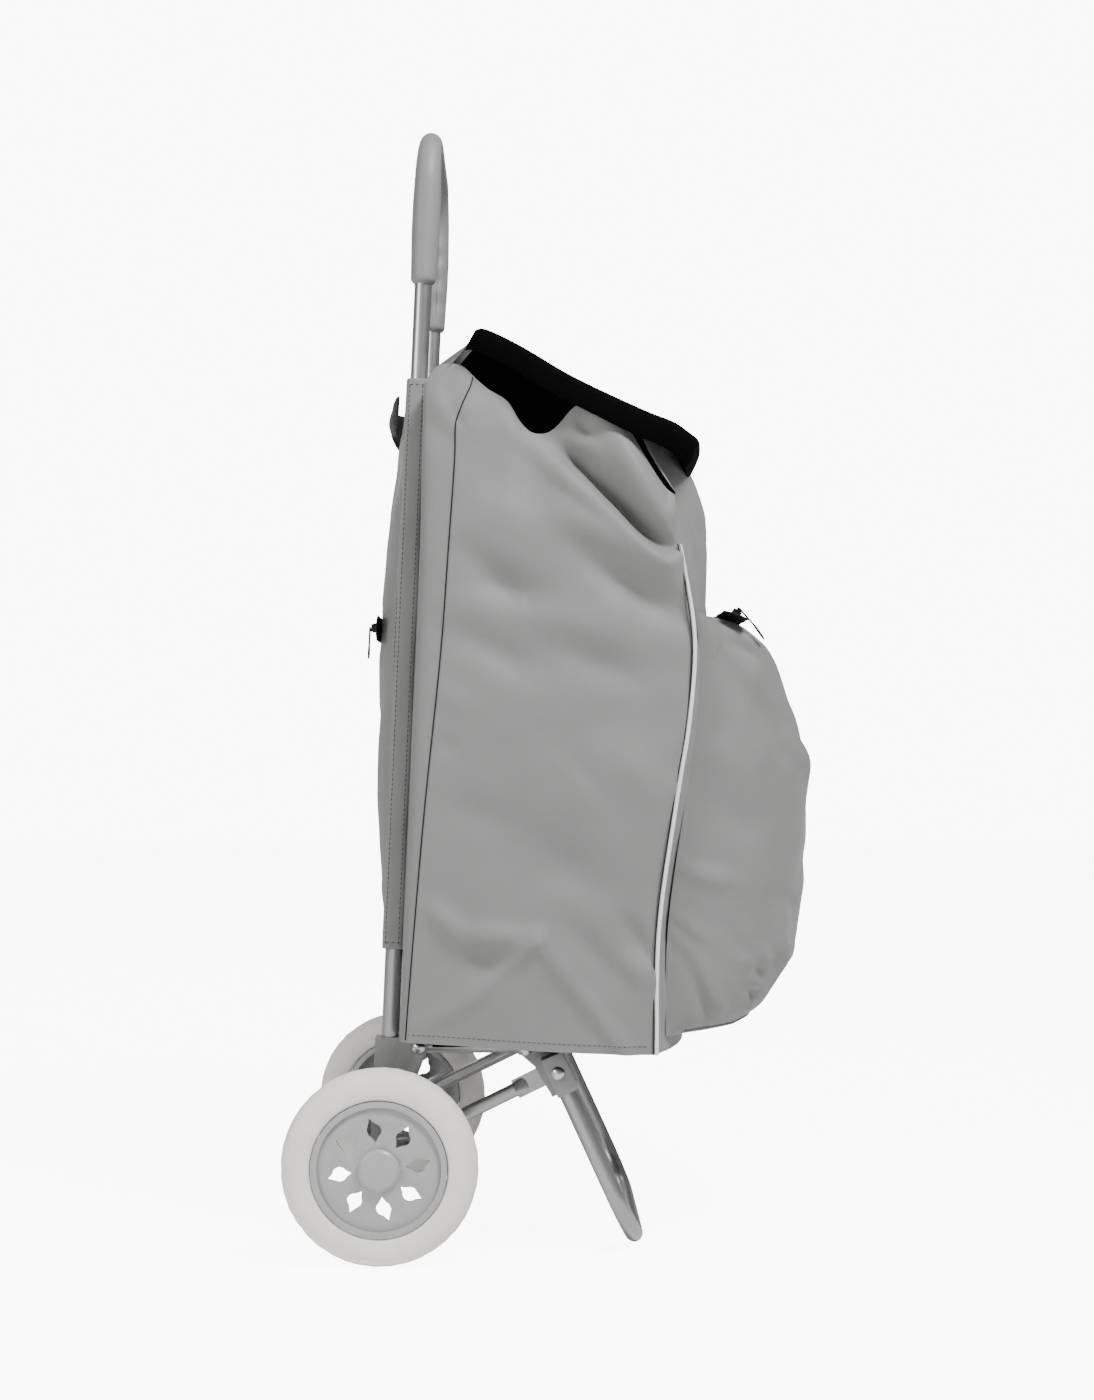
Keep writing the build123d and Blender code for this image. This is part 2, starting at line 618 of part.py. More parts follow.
def bag_bottom_panel():
    low = PLATFORM_TOP + SIDE_GAP
    high = low + FABRIC
    outline = [(BOARD_REAR_F, low), (BOARD_FRONT_F, low), (BOARD_FRONT_F, high), (BOARD_REAR_F, high)]
    half = PANEL_X - 2 * SIDE_GAP
    return prism(outline, -half, half)


def bag_base_board():
    low = PLATFORM_TOP + SIDE_GAP + FABRIC + 0.1
    rear = BOARD_REAR_F + 3
    front = BOARD_FRONT_F - 3
    high = low + BOARD_THICKNESS
    outline = [(rear, low), (front, low), (front, high), (rear, high)]
    half = PANEL_X - 6
    return prism(outline, -half, half)


def lean_plane(x, n, s):
    """Plane square to the uprights at a point of their side plane."""
    f, r = lean_point(n, s)
    direction = (at(0, *lean_point(0, 1)) - at(0, 0, 0)).normalized()
    return Plane(origin=at(x, f, r), x_dir=(1, 0, 0), z_dir=direction)


def upright_sleeve():
    """Fabric channel sewn to the back panel, around one upright."""
    low = SLEEVE_BOTTOM / cos(LEAN)
    high = SLEEVE_TOP / cos(LEAN)
    outline = RectangleRounded(SLEEVE_WIDTH, 2 * SLEEVE_HALF, SLEEVE_HALF - 1)
    outline -= Circle(TUBE_DIAMETER / 2 + 2 * RUNNING_FIT)
    return extrude(lean_plane(UPRIGHT_X, 0, low) * outline, amount=high - low)


def bag_collar():
    """Dark lining that stands above the rim, under the lid."""
    half = PANEL_X - 4
    behind = BAG_BACK_GAP + FABRIC + 3
    gap = LID_THICKNESS + 3
    slope = (RIDGE_RISE - LID_FRONT_RISE) / (LID_FRONT_F - RIDGE_F)
    front_f = FRONT_CORNER[-1][0] - COLLAR_FRONT_GAP
    top_front = (front_f, RIDGE_RISE - slope * (front_f - RIDGE_F) - gap)
    top_ridge = (RIDGE_F, RIDGE_RISE - gap)
    top_back = back_line(behind, BAG_BACK_TOP - 8)
    bottom_back = back_line(behind, COLLAR_BOTTOM)
    outline = [bottom_back, (front_f, COLLAR_BOTTOM), top_front, top_ridge, top_back]
    below = COLLAR_BOTTOM - 10
    above = RIDGE_RISE + 20
    inner = [(bottom_back[0] + FABRIC, below), (front_f - FABRIC, below),
             (front_f - FABRIC, above), (top_back[0] + FABRIC, above)]
    return prism(outline, -half, half) - prism(inner, -half + FABRIC, half - FABRIC)


def lid_line(distance, above):
    """Point on the lid, measured from the ridge towards the front edge."""
    run = LID_FRONT_F - RIDGE_F
    fall = RIDGE_RISE - LID_FRONT_RISE
    length = hypot(run, fall)
    return (RIDGE_F + distance * run / length + above * fall / length,
            RIDGE_RISE - distance * fall / length + above * run / length)


def lid_length():
    return hypot(LID_FRONT_F - RIDGE_F, RIDGE_RISE - LID_FRONT_RISE)


def lid_outline(edge, trim):
    """The lid from above: straight hinge edge and a bulging front."""
    half = LID_WIDTH / 2 - trim
    front = edge - trim
    sides = Polyline((-half, front), (-half, 0), (half, 0), (half, front))
    return make_face(sides + ThreePointArc((-half, front), (0, front + LID_BULGE), (half, front)))


def bag_lid():
    """Flap hinged on the ridge, with a skirt at each side and a low lip in front."""
    slope = atan2(RIDGE_RISE - LID_FRONT_RISE, LID_FRONT_F - RIDGE_F)
    square = (0, -sin(slope), cos(slope))
    plane = Plane(origin=at(0, *lid_line(0.6, 0)), x_dir=(-1, 0, 0), z_dir=square)
    length = lid_length()
    wide = LID_WIDTH + 10
    lid = extrude(plane * lid_outline(length, 0), amount=LID_THICKNESS)
    rim = lid_outline(length, 0) - lid_outline(length, LID_SKIRT_WALL)
    sides = rim & (Pos(0, length * 0.6) * Rectangle(wide, length * 0.8))
    front = rim & (Pos(0, length * 1.5) * Rectangle(wide, length * 1.02))
    lid += extrude(plane * sides, amount=-LID_SKIRT)
    lid += extrude(plane * front, amount=-LID_FRONT_LIP)
    return lid


def lid_hinge_tape():
    """Binding tape behind the ridge, between the uprights, that carries the lid's hinge."""
    rear_f, rear_r = back_line(BAG_BACK_GAP, BAG_BACK_TOP)
    run = RIDGE_F - 1 - rear_f
    rise = RIDGE_RISE - rear_r
    length = hypot(run, rise)

    def point(behind, above):
        return (RIDGE_F - 1 - (behind * run + above * rise) / length,
                RIDGE_RISE + (above * run - behind * rise) / length)

    near = HINGE_TAPE_SETBACK
    far = near + HINGE_TAPE_WIDTH
    low = SIDE_GAP
    high = low + HINGE_TAPE_THICKNESS
    half = UPRIGHT_X - SLEEVE_WIDTH / 2 - BACK_POCKET_GAP
    return prism([point(near, low), point(near, high), point(far, high), point(far, low)], -half, half)


def piping():
    """Light cord sewn along a front corner seam."""
    x = BAG_X + 0.8
    corners = [at(x, f + 2.9, r) for f, r in FRONT_CORNER[:-1]]
    path = FilletPolyline(*corners, radius=60)
    return pipe(path, corners[0], (corners[1] - corners[0]).normalized(), PIPING_DIAMETER)


def pocket_block(trim):
    """Outer shape of the front pocket, each face moved in by trim."""
    reach = POCKET_REACH - trim
    top = POCKET_TOP_RISE - trim
    bottom = POCKET_BOTTOM_RISE + trim
    half = POCKET_WIDTH / 2 - trim
    inside = FRONT_CORNER[0][0] - 20
    start = at(-half, reach - 66, top - 7)
    end = at(-half, reach - 40, bottom + 13)
    belly = Spline(start, at(-half, reach - 25, top - 53), at(-half, reach - 4, top - 126),
                   at(-half, reach, top - 172), at(-half, reach - 7, top - 258), end)
    rest = Polyline(end, at(-half, inside + 25, bottom), at(-half, inside, bottom),
                    at(-half, inside, top), start)
    side = extrude(make_face(belly + rest), amount=2 * half, dir=(1, 0, 0))
    shoulder = reach - 56
    left = at(-half, shoulder, -WHEEL_R)
    right = at(half, shoulder, -WHEEL_R)
    sides = Polyline(left, at(-half, inside, -WHEEL_R), at(half, inside, -WHEEL_R), right)
    plan = make_face(sides + ThreePointArc(left, at(0, reach, -WHEEL_R), right))
    return side & extrude(plan, amount=OVERALL_HEIGHT, dir=(0, 0, 1))


def front_pocket():
    """Closed bellows pocket on the front panel."""
    outer = pocket_block(0) - front_volume(SIDE_GAP, PANEL_X + 3)
    inner = pocket_block(FABRIC) - front_volume(SIDE_GAP + FABRIC, PANEL_X + 3)
    return outer - inner


def back_pocket_block(trim):
    """Outer shape of the flat pocket between the sleeves, moved in by trim."""
    half = BACK_POCKET_WIDTH / 2 - trim
    near = BAG_BACK_GAP - SIDE_GAP - trim
    deep = trim - BACK_POCKET_BULGE
    low = BACK_POCKET_BOTTOM + trim
    high = SLEEVE_TOP - 5 - trim
    span = high - low
    start = at(-half, *lean_point(deep + 11, high))
    end = at(-half, *lean_point(deep + 12, low))
    belly = Spline(start, at(-half, *lean_point(deep, low + span * 0.58)),
                   at(-half, *lean_point(deep + 1.5, low + span * 0.35)), end)
    rest = Polyline(end, at(-half, *lean_point(near, low)), at(-half, *lean_point(near, high)),
                    start)
    return extrude(make_face(belly + rest), amount=2 * half, dir=(1, 0, 0))


def back_pocket():
    return back_pocket_block(0) - back_pocket_block(FABRIC)


def slab_on(plane, length, width, thickness):
    return extrude(plane * Rectangle(length, width), amount=thickness)


def front_zip_plane(x):
    """Plane on the pocket's sloping top, its z axis square to the cloth."""
    fall = 7.0
    run = POCKET_REACH - 66 - (FRONT_CORNER[3][0] + BAG_FRONT_BULGE - 2)
    slope = atan2(fall, run)
    f = POCKET_REACH - 66 - ZIP_TAPE_WIDTH / 2 + 4
    origin = at(x, f, POCKET_TOP_RISE - 1.2)
    return Plane(origin=origin, x_dir=(1, 0, 0), z_dir=(0, -sin(slope), cos(slope)))


def back_zip_plane(x):
    """Plane on the back pocket's outer face."""
    s = BACK_POCKET_BOTTOM + (SLEEVE_TOP - 5 - BACK_POCKET_BOTTOM) * BACK_ZIP_SHARE
    f, r = lean_point(-BACK_POCKET_BULGE - 0.7, s)
    return Plane(origin=at(x, f, r), x_dir=(-1, 0, 0), z_dir=(0, cos(LEAN), sin(LEAN)))


def zip_slider(plane):
    """Slider body with the bridge that holds the pull."""
    length, width, height = ZIP_SLIDER
    lift = ZIP_TAPE_THICKNESS + 0.1
    body = extrude(plane * Pos(0, 0, lift) * RectangleRounded(length, width, 2), amount=height - 2)
    bridge = Pos(0, 0, lift + height - 2) * Rectangle(3, width - 1)
    return body + extrude(plane * bridge, amount=2)


def zip_pull(plane, way):
    """Flat pull with a ring end, lying on the cloth; way is +1 or -1 along the plane's y."""
    lift = ZIP_TAPE_THICKNESS + 0.1 + ZIP_SLIDER[2] + 0.3
    start = -way * 0.7
    centre = start + way * PULL_LENGTH / 2
    ring = start + way * PULL_LENGTH
    face = Pos(0, centre, lift) * RectangleRounded(PULL_WIDTH, PULL_LENGTH, 2)
    face += Pos(0, ring, lift) * Circle(PULL_RING_RADIUS)
    face -= Pos(0, ring, lift) * Circle(PULL_EYE_RADIUS)
    return extrude(plane * face, amount=PULL_THICKNESS)


def grab_handle():
    """Webbing loop across the top of the back, bowed clear of the cloth."""
    s = SLEEVE_TOP - 24
    face_n = 7 - BACK_POCKET_BULGE
    near = 0.4 - face_n
    far = near + GRAB_BOW
    top = near + GRAB_THICKNESS
    end = GRAB_WIDTH / 2
    inner = end - GRAB_PAD
    plane = lean_plane(0, 0, s - GRAB_STRAP / 2)
    outline = make_face(
        Polyline((-inner, near), (-end, near), (-end, top), (-inner, top))
        + ThreePointArc((-inner, top), (0, far + GRAB_THICKNESS), (inner, top))
        + Polyline((inner, top), (end, top), (end, near), (inner, near))
        + ThreePointArc((inner, near), (0, far), (-inner, near)))
    return extrude(plane * outline, amount=GRAB_STRAP)


def save_wheels():
    both_sides(tyre(), "tyre")
    both_sides(hub(), "wheel_hub")
    both_sides(hub_cap(), "hub_cap")
    save(axle(), "axle")
    save(wheel_spacers(), "wheel_spacers")
    save(axle_push_nuts(), "axle_push_nuts")


def save_frame():
    save(handle_frame(), "handle_frame")
    save(handle_grip(), "handle_grip")
    both_sides(corner_bracket(), "corner_bracket")
    save(bracket_screws(), "bracket_screws")
    save(platform_frame(), "platform_frame")
    save(platform_cross_rods(), "platform_cross_rods")
    both_sides(leg_bracket(), "leg_bracket")
    save(foot_frame(), "foot_frame")
    both_sides(strut(), "strut")


def save_bolts():
    plate_face = PLATE_X + STRUT_FLAT / 2 + SIDE_GAP + LEG_BLOCK_WALL
    block_face = LEG_X + TUBE_DIAMETER / 2 + LEG_BLOCK_WALL
    tube_nut = UPRIGHT_X - PLATFORM_TUBE / 2 - NUT_THICKNESS
    bracket_nut = BRACKET_IN - NUT_THICKNESS
    strut_nut = UPRIGHT_X + PLATFORM_TUBE / 2 + SIDE_GAP - NUT_THICKNESS
    platform = (PLATFORM_PIVOT_F, PLATFORM_RISE)
    leg = (LEG_PIVOT_F, PLATFORM_RISE)
    brace = (STRUT_PIVOT_F, STRUT_PIVOT_RISE)
    save(bolt(bracket_nut - 1, BRACKET_OUT, *platform), "platform_pivot_bolts")
    save(nut(bracket_nut, *platform), "platform_pivot_nuts")
    save(bolt(tube_nut - 1, plate_face, *leg), "leg_pivot_bolts")
    save(nut(tube_nut, *leg), "leg_pivot_nuts")
    save(bolt(strut_nut - 1, block_face, *brace), "strut_bolts")
    save(nut(strut_nut, *brace), "strut_nuts")


def save_bag():
    save(bag_back_panel(), "bag_back_panel")
    both_sides(bag_side_panel(), "bag_side_panel")
    save(bag_front_panel(), "bag_front_panel")
    save(bag_bottom_panel(), "bag_bottom_panel")
    save(bag_base_board(), "bag_base_board")
    both_sides(upright_sleeve(), "upright_sleeve")
    save(bag_collar(), "bag_collar")
    save(bag_lid(), "bag_lid")
    save(lid_hinge_tape(), "lid_hinge_tape")
    both_sides(piping(), "corner_piping")
    save(front_pocket(), "front_pocket")
    save(back_pocket(), "back_pocket")
    save(grab_handle(), "grab_handle")


def save_zip(zip_plane, length, name):
    """Tape, slider and pull of one zip; the slider stands near the -X end when closed."""
    save(slab_on(zip_plane(0), length, ZIP_TAPE_WIDTH, ZIP_TAPE_THICKNESS), f"{name}_tape")
    closed = zip_plane(ZIP_END - length / 2)
    save(zip_slider(closed), f"{name}_slider")
    save(zip_pull(closed, -1), f"{name}_pull")


save_wheels()
save_frame()
save_bolts()
save_bag()
save_zip(front_zip_plane, FRONT_ZIP_LENGTH, "front_zip")
save_zip(back_zip_plane, BACK_ZIP_LENGTH, "back_zip")
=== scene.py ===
# %% [markdown]
# # A folding shopping trolley, dressed in Blender
# The trolley's design is already fixed: every tube, hinge and wheel has its place. This script
# loads that frame and builds the looks around it: cloth that creases, a moulded grip, foam tyres.
# The script is in metres. The bag's pattern is written in millimetres, and `at` turns a pattern
# point into a place: x across, f forward from the axle, r up from the axle.

# %% Load the frame
import math

import bmesh
import bpy
from mathutils import Matrix, Vector, noise
from mathutils.bvhtree import BVHTree


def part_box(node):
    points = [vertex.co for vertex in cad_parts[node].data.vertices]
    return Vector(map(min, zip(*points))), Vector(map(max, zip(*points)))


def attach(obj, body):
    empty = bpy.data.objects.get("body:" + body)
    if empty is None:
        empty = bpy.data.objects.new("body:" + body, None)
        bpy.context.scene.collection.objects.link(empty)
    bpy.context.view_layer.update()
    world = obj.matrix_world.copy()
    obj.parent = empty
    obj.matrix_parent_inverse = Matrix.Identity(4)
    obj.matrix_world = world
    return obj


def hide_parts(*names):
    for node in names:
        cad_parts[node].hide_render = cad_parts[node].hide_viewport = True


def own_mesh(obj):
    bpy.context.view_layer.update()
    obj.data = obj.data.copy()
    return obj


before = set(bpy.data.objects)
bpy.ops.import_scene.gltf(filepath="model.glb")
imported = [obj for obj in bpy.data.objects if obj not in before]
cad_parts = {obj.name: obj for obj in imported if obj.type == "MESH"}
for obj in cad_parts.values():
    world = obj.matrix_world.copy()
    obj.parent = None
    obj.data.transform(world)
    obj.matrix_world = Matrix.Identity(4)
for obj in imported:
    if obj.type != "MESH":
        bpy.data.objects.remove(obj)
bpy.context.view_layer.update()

# %% Places on the trolley
MM = 0.001
axle_low, axle_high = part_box("axle")
AXLE = (axle_low + axle_high) / 2
LEAN = math.radians(2.52)
UPRIGHT_X = (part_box("right_upright_sleeve")[0].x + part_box("right_upright_sleeve")[1].x) / 2 / MM
BAG_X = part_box("right_bag_side_panel")[1].x / MM
TUBE_R = 7.5


def at(x, f, r):
    """The place of a pattern point: x across, f forward and r up from the axle."""
    return Vector((x * MM, AXLE.y - f * MM, AXLE.z + r * MM))


def on_upright(x, ahead, along):
    """A point given from the leaning uprights: ahead of their axis and along it."""
    return at(x, along * math.sin(LEAN) + ahead * math.cos(LEAN),
              along * math.cos(LEAN) - ahead * math.sin(LEAN))


print("axle at", [round(c, 4) for c in AXLE])
print("uprights at", round(UPRIGHT_X, 1), "bag side at", round(BAG_X, 1))

# %% [markdown]
# ## Camera, lights and floor
# The trolley is looked at square from its side, from about two metres. A long lens keeps the
# perspective gentle. Light comes from big soft panels, so that shadows stay faint and the creases
# of the cloth still read. The floor is a plain pale sheet.

# %% Camera
bpy.ops.object.select_all(action="DESELECT")
bpy.ops.object.camera_add(location=(-1.8713, 0.03235, 0.4355), rotation=(math.pi / 2, 0, -math.pi / 2))
camera = bpy.context.active_object
camera.name = "side_camera"
camera.data.lens = 52.68
camera.data.shift_x = 0.0214
camera.data.shift_y = 0.0293
bpy.context.scene.camera = camera
print("camera lens", camera.data.lens)


# %% A helper for node maths
def maths(tree, operation, a, b=None, c=None):
    """One Math node; a, b and c are numbers or sockets."""
    node = tree.nodes.new("ShaderNodeMath")
    node.operation = operation
    for index, value in enumerate((a, b, c)):
        if value is None:
            continue
        if isinstance(value, (int, float)):
            node.inputs[index].default_value = value
        else:
            tree.links.new(value, node.inputs[index])
    return node.outputs[0]


# %% Lights
def softbox(name, place, target, size, power):
    """A square area light that looks at a point."""
    bpy.ops.object.light_add(type="AREA", location=place)
    light = bpy.context.active_object
    light.name = name
    light.data.size = size
    light.data.energy = power
    aim = Vector(target) - Vector(place)
    light.rotation_euler = aim.to_track_quat("-Z", "Y").to_euler()
    return light


middle = (0, 0, 0.45)
softbox("key_light", (-1.2, -0.9, 2.4), middle, 0.7, 84)
softbox("fill_light", (-2.6, 0.9, 0.5), middle, 1.6, 10)
softbox("back_light", (2.2, 0.8, 1.6), middle, 1.8, 24)
softbox("rear_light", (-1.5, 1.9, 1.2), middle, 0.9, 26)
world = bpy.data.worlds.new("studio")
bpy.context.scene.world = world
world.use_nodes = True
backdrop = world.node_tree.nodes["Background"]
backdrop.inputs["Color"].default_value = (1.0, 1.0, 1.0, 1)
AMBIENT = 0.20
SEEN_WHITE = 10.0
FLOOR_GLOW = 9.0
seen = world.node_tree.nodes.new("ShaderNodeLightPath").outputs["Is Camera Ray"]
world.node_tree.links.new(maths(world.node_tree, "MULTIPLY_ADD", seen, SEEN_WHITE - AMBIENT, AMBIENT),
                          backdrop.inputs["Strength"])

# %% Floor
bpy.ops.object.select_all(action="DESELECT")
bpy.ops.mesh.primitive_plane_add(size=14, location=(0, 0, 0))
floor = bpy.context.active_object
floor.name = "floor"
floor_paint = bpy.data.materials.new("pale_floor")
floor_paint.use_nodes = True
floor_shader = floor_paint.node_tree.nodes["Principled BSDF"]
floor_shader.inputs["Base Color"].default_value = (0.95, 0.95, 0.95, 1)
floor_shader.inputs["Roughness"].default_value = 0.9
floor_shader.inputs["Emission Color"].default_value = (1, 1, 1, 1)
floor_tree = floor_paint.node_tree
seen = floor_tree.nodes.new("ShaderNodeLightPath").outputs["Is Camera Ray"]
floor_glow = maths(floor_tree, "MULTIPLY", seen, FLOOR_GLOW)
floor_tree.links.new(floor_glow, floor_shader.inputs["Emission Strength"])
floor.data.materials.append(floor_paint)
print("stage ready")

# %% [markdown]
# ## Effects that many finishes share
# Woven polyester, moulded plastic and painted tube differ, but they are made of the same few
# effects: a weave, a fine grain and a slow drift of tone. Each effect is one node group with named
# sockets. Every finish places the group with its own numbers, so the scale stays right.


# %% A helper for node groups
def new_group(name, inputs, outputs):
    """An empty shader node group with float or vector sockets."""
    group = bpy.data.node_groups.new(name, "ShaderNodeTree")
    for label, kind, value in inputs:
        socket = group.interface.new_socket(label, in_out="INPUT", socket_type=kind)
        if kind == "NodeSocketFloat":
            socket.default_value = value
    for label, kind in outputs:
        group.interface.new_socket(label, in_out="OUTPUT", socket_type=kind)
    return group, group.nodes.new("NodeGroupInput"), group.nodes.new("NodeGroupOutput")


def noise_on(tree, vector, scale, detail=2.0, roughness=0.5):
    """One Noise Texture node that reads a vector socket."""
    node = tree.nodes.new("ShaderNodeTexNoise")
    node.inputs["Detail"].default_value = detail
    node.inputs["Roughness"].default_value = roughness
    tree.links.new(vector, node.inputs["Vector"])
    if isinstance(scale, (int, float)):
        node.inputs["Scale"].default_value = scale
    else:
        tree.links.new(scale, node.inputs["Scale"])
    return node.outputs["Fac"]


# %% Weave
FLOAT = "NodeSocketFloat"
VECTOR = "NodeSocketVector"
weave_group, inside, outside = new_group(
    "plain_weave", [("Vector", VECTOR, None), ("Threads", FLOAT, 1400.0)],
    [("Height", FLOAT), ("Slub", FLOAT)])
split = weave_group.nodes.new("ShaderNodeSeparateXYZ")
weave_group.links.new(inside.outputs["Vector"], split.inputs[0])
turn = maths(weave_group, "MULTIPLY", inside.outputs["Threads"], 2 * math.pi)
across = maths(weave_group, "ADD", split.outputs["X"], split.outputs["Y"])
warp = maths(weave_group, "SINE", maths(weave_group, "MULTIPLY", across, turn))
weft = maths(weave_group, "SINE", maths(weave_group, "MULTIPLY", split.outputs["Z"], turn))
crossing = maths(weave_group, "MULTIPLY", warp, weft)
weave_group.links.new(maths(weave_group, "MULTIPLY_ADD", crossing, 0.5, 0.5), outside.inputs["Height"])
stretch = weave_group.nodes.new("ShaderNodeVectorMath")
stretch.operation = "MULTIPLY"
stretch.inputs[1].default_value = (1.0, 1.0, 9.0)
weave_group.links.new(inside.outputs["Vector"], stretch.inputs[0])
slub = noise_on(weave_group, stretch.outputs[0], 160, 3.0, 0.65)
weave_group.links.new(slub, outside.inputs["Slub"])
print("group", weave_group.name)

# %% Grain
grain_group, inside, outside = new_group(
    "moulded_grain", [("Vector", VECTOR, None), ("Scale", FLOAT, 900.0)], [("Height", FLOAT)])
fine = noise_on(grain_group, inside.outputs["Vector"], inside.outputs["Scale"], 3.0, 0.6)
grain_group.links.new(fine, outside.inputs["Height"])
print("group", grain_group.name)

# %% Drift of tone
drift_group, inside, outside = new_group(
    "tone_drift", [("Vector", VECTOR, None), ("Scale", FLOAT, 12.0), ("Contrast", FLOAT, 1.0)],
    [("Mask", FLOAT)])
slow = noise_on(drift_group, inside.outputs["Vector"], inside.outputs["Scale"], 4.0, 0.55)
centred = maths(drift_group, "SUBTRACT", slow, 0.5)
spread = maths(drift_group, "MULTIPLY_ADD", centred, inside.outputs["Contrast"], 0.5)
drift_group.links.new(maths(drift_group, "MINIMUM", maths(drift_group, "MAXIMUM", spread, 0.0), 1.0),
                      outside.inputs["Mask"])
print("group", drift_group.name)

# %% [markdown]
# ## Finishes
# Each finish starts from a plain Principled shader with its own roughness, then takes colour from
# two close tones that drift into each other, and its relief from a weave or a grain. The two tones
# are close together, because real cloth and plastic vary only a little.


# %% A helper for finishes
def finish(name, light, dark, roughness, drift=12.0, contrast=1.6, relief=None, relief_scale=900.0,
           strength=0.2, depth=0.0004, rough_swing=0.08, **settings):
    """A material of two drifting tones with a woven or grained relief."""
    material = bpy.data.materials.new(name)
    material.use_nodes = True
    tree = material.node_tree
    shader = tree.nodes["Principled BSDF"]
    for label, value in settings.items():
        shader.inputs[label.replace("_", " ")].default_value = value
    place = tree.nodes.new("ShaderNodeTexCoord").outputs["Object"]
    tones = tree.nodes.new("ShaderNodeGroup")
    tones.node_tree = drift_group
    tones.inputs["Scale"].default_value = drift
    tones.inputs["Contrast"].default_value = contrast
    tree.links.new(place, tones.inputs["Vector"])
    mix = tree.nodes.new("ShaderNodeMix")
    mix.data_type = "RGBA"
    mix.inputs["A"].default_value = (*dark, 1)
    mix.inputs["B"].default_value = (*light, 1)
    tree.links.new(tones.outputs["Mask"], mix.inputs["Factor"])
    tree.links.new(mix.outputs["Result"], shader.inputs["Base Color"])
    low = roughness - rough_swing / 2
    rough = maths(tree, "MULTIPLY_ADD", tones.outputs["Mask"], rough_swing, low)
    tree.links.new(rough, shader.inputs["Roughness"])
    if relief:
        group = tree.nodes.new("ShaderNodeGroup")
        group.node_tree = relief
        group.inputs["Threads" if relief is weave_group else "Scale"].default_value = relief_scale
        tree.links.new(place, group.inputs["Vector"])
        bump = tree.nodes.new("ShaderNodeBump")
        bump.inputs["Strength"].default_value = strength
        bump.inputs["Distance"].default_value = depth
        height = group.outputs["Height"]
        if relief is weave_group:
            height = maths(tree, "MULTIPLY_ADD", group.outputs["Slub"], 0.9, height)
        tree.links.new(height, bump.inputs["Height"])
        tree.links.new(bump.outputs["Normal"], shader.inputs["Normal"])
    return material


def grey(value, warm=0.0):
    """A linear colour from a display grey of 0 to 255, with a little warmth."""
    level = (value / 255) ** 2.2
    return (level * (1 + warm), level, level * (1 - warm))


# %% Cloth and cord
bag_cloth = finish("bag_cloth", grey(128, 0.01), grey(121, 0.012), 0.62, drift=7, relief=weave_group,
                   relief_scale=1100, strength=0.22, depth=0.0003, Sheen_Weight=0.15, Sheen_Roughness=0.5)
lining_cloth = finish("lining_cloth", grey(5), grey(3), 0.85, relief=weave_group, relief_scale=1000,
                      strength=0.25, depth=0.0003, Specular_IOR_Level=0.07)
piping_cloth = finish("piping_cloth", grey(246), grey(238), 0.5, drift=40, relief=weave_group,
                      relief_scale=1600, strength=0.2, depth=0.0002)
thread_grey = finish("thread_grey", grey(84), grey(66), 0.6, drift=60, relief=grain_group, relief_scale=3000)
# This black finish colours the back seams, and also the painted shade strands beside the piping and the
# sleeves.
black_thread_and_gap_shade = finish("black_thread_and_gap_shade", grey(16), grey(9), 0.7, drift=60, relief=grain_group, relief_scale=3000)
webbing_cloth = finish("webbing_cloth", grey(22), grey(12), 0.65, drift=30, relief=weave_group,
                       relief_scale=450, strength=0.5, depth=0.0006)
tape_cloth = finish("tape_cloth", grey(20), grey(12), 0.7, drift=30, relief=weave_group, relief_scale=900,
                    strength=0.4, depth=0.0004)

# %% Metal, plastic and foam
silver_tube = finish("silver_tube", grey(172), grey(162), 0.34, drift=18, relief=grain_group,
                     relief_scale=1500, strength=0.08, depth=0.0001, Metallic=0.85, Coat_Weight=0.2)
zinc = finish("zinc", grey(214), grey(196), 0.28, drift=60, relief=grain_group, relief_scale=700,
              strength=0.1, depth=0.0002, Metallic=1.0)
dark_metal = finish("dark_metal", grey(26), grey(16), 0.35, drift=60, relief=grain_group, relief_scale=900,
                    strength=0.1, depth=0.0002, Metallic=0.4)
bracket_plastic = finish("bracket_plastic", grey(136), grey(128), 0.5, relief=grain_group,
                         relief_scale=1400, strength=0.18, depth=0.0002)
grip_rubber = finish("grip_rubber", grey(134, -0.01), grey(126, -0.01), 0.52, relief=grain_group,
                     relief_scale=1700, strength=0.2, depth=0.0002)
hub_plastic = finish("hub_plastic", grey(170, -0.01), grey(163, -0.01), 0.36, relief=grain_group,
                     relief_scale=1500, strength=0.08, depth=0.0001, Coat_Weight=0.1)
tyre_foam = finish("tyre_foam", (0.93, 0.91, 0.85), (0.87, 0.84, 0.76), 0.75, drift=25, contrast=2.2,
                   relief=grain_group, relief_scale=420, strength=0.35, depth=0.0006)
board_fibre = finish("board_fibre", grey(60), grey(42), 0.8, drift=50, relief=grain_group, relief_scale=600)
print("finishes:", len(bpy.data.materials))

# %% [markdown]
# ## Working helpers
# A piece of cloth starts as a flat grid. Its points are then laid where the pattern says, creased,
# given a thickness and smoothed. Round strands, such as piping, are a circle carried along a line.


# %% Select one object
def only(obj):
    """Deselect everything, then select and activate one object."""
    bpy.ops.object.select_all(action="DESELECT")
    obj.select_set(True)
    bpy.context.view_layer.objects.active = obj
    return obj


def apply_modifier(obj, kind, **settings):
    """Add a modifier and apply it at once."""
    only(obj)
    modifier = obj.modifiers.new(kind.lower(), kind)
    for label, value in settings.items():
        setattr(modifier, label, value)
    bpy.ops.object.modifier_apply(modifier=modifier.name)


def smooth_shade(obj, angle=math.radians(40)):
    only(obj)
    bpy.ops.object.shade_smooth_by_angle(angle=angle)


def tidy_mesh(obj, gap=0.00001):
    """Merge doubled points and turn every face outwards."""
    only(obj)
    bpy.ops.object.mode_set(mode="EDIT")
    bpy.ops.mesh.select_all(action="SELECT")
    bpy.ops.mesh.remove_doubles(threshold=gap)
    bpy.ops.mesh.normals_make_consistent(inside=False)
    bpy.ops.object.mode_set(mode="OBJECT")


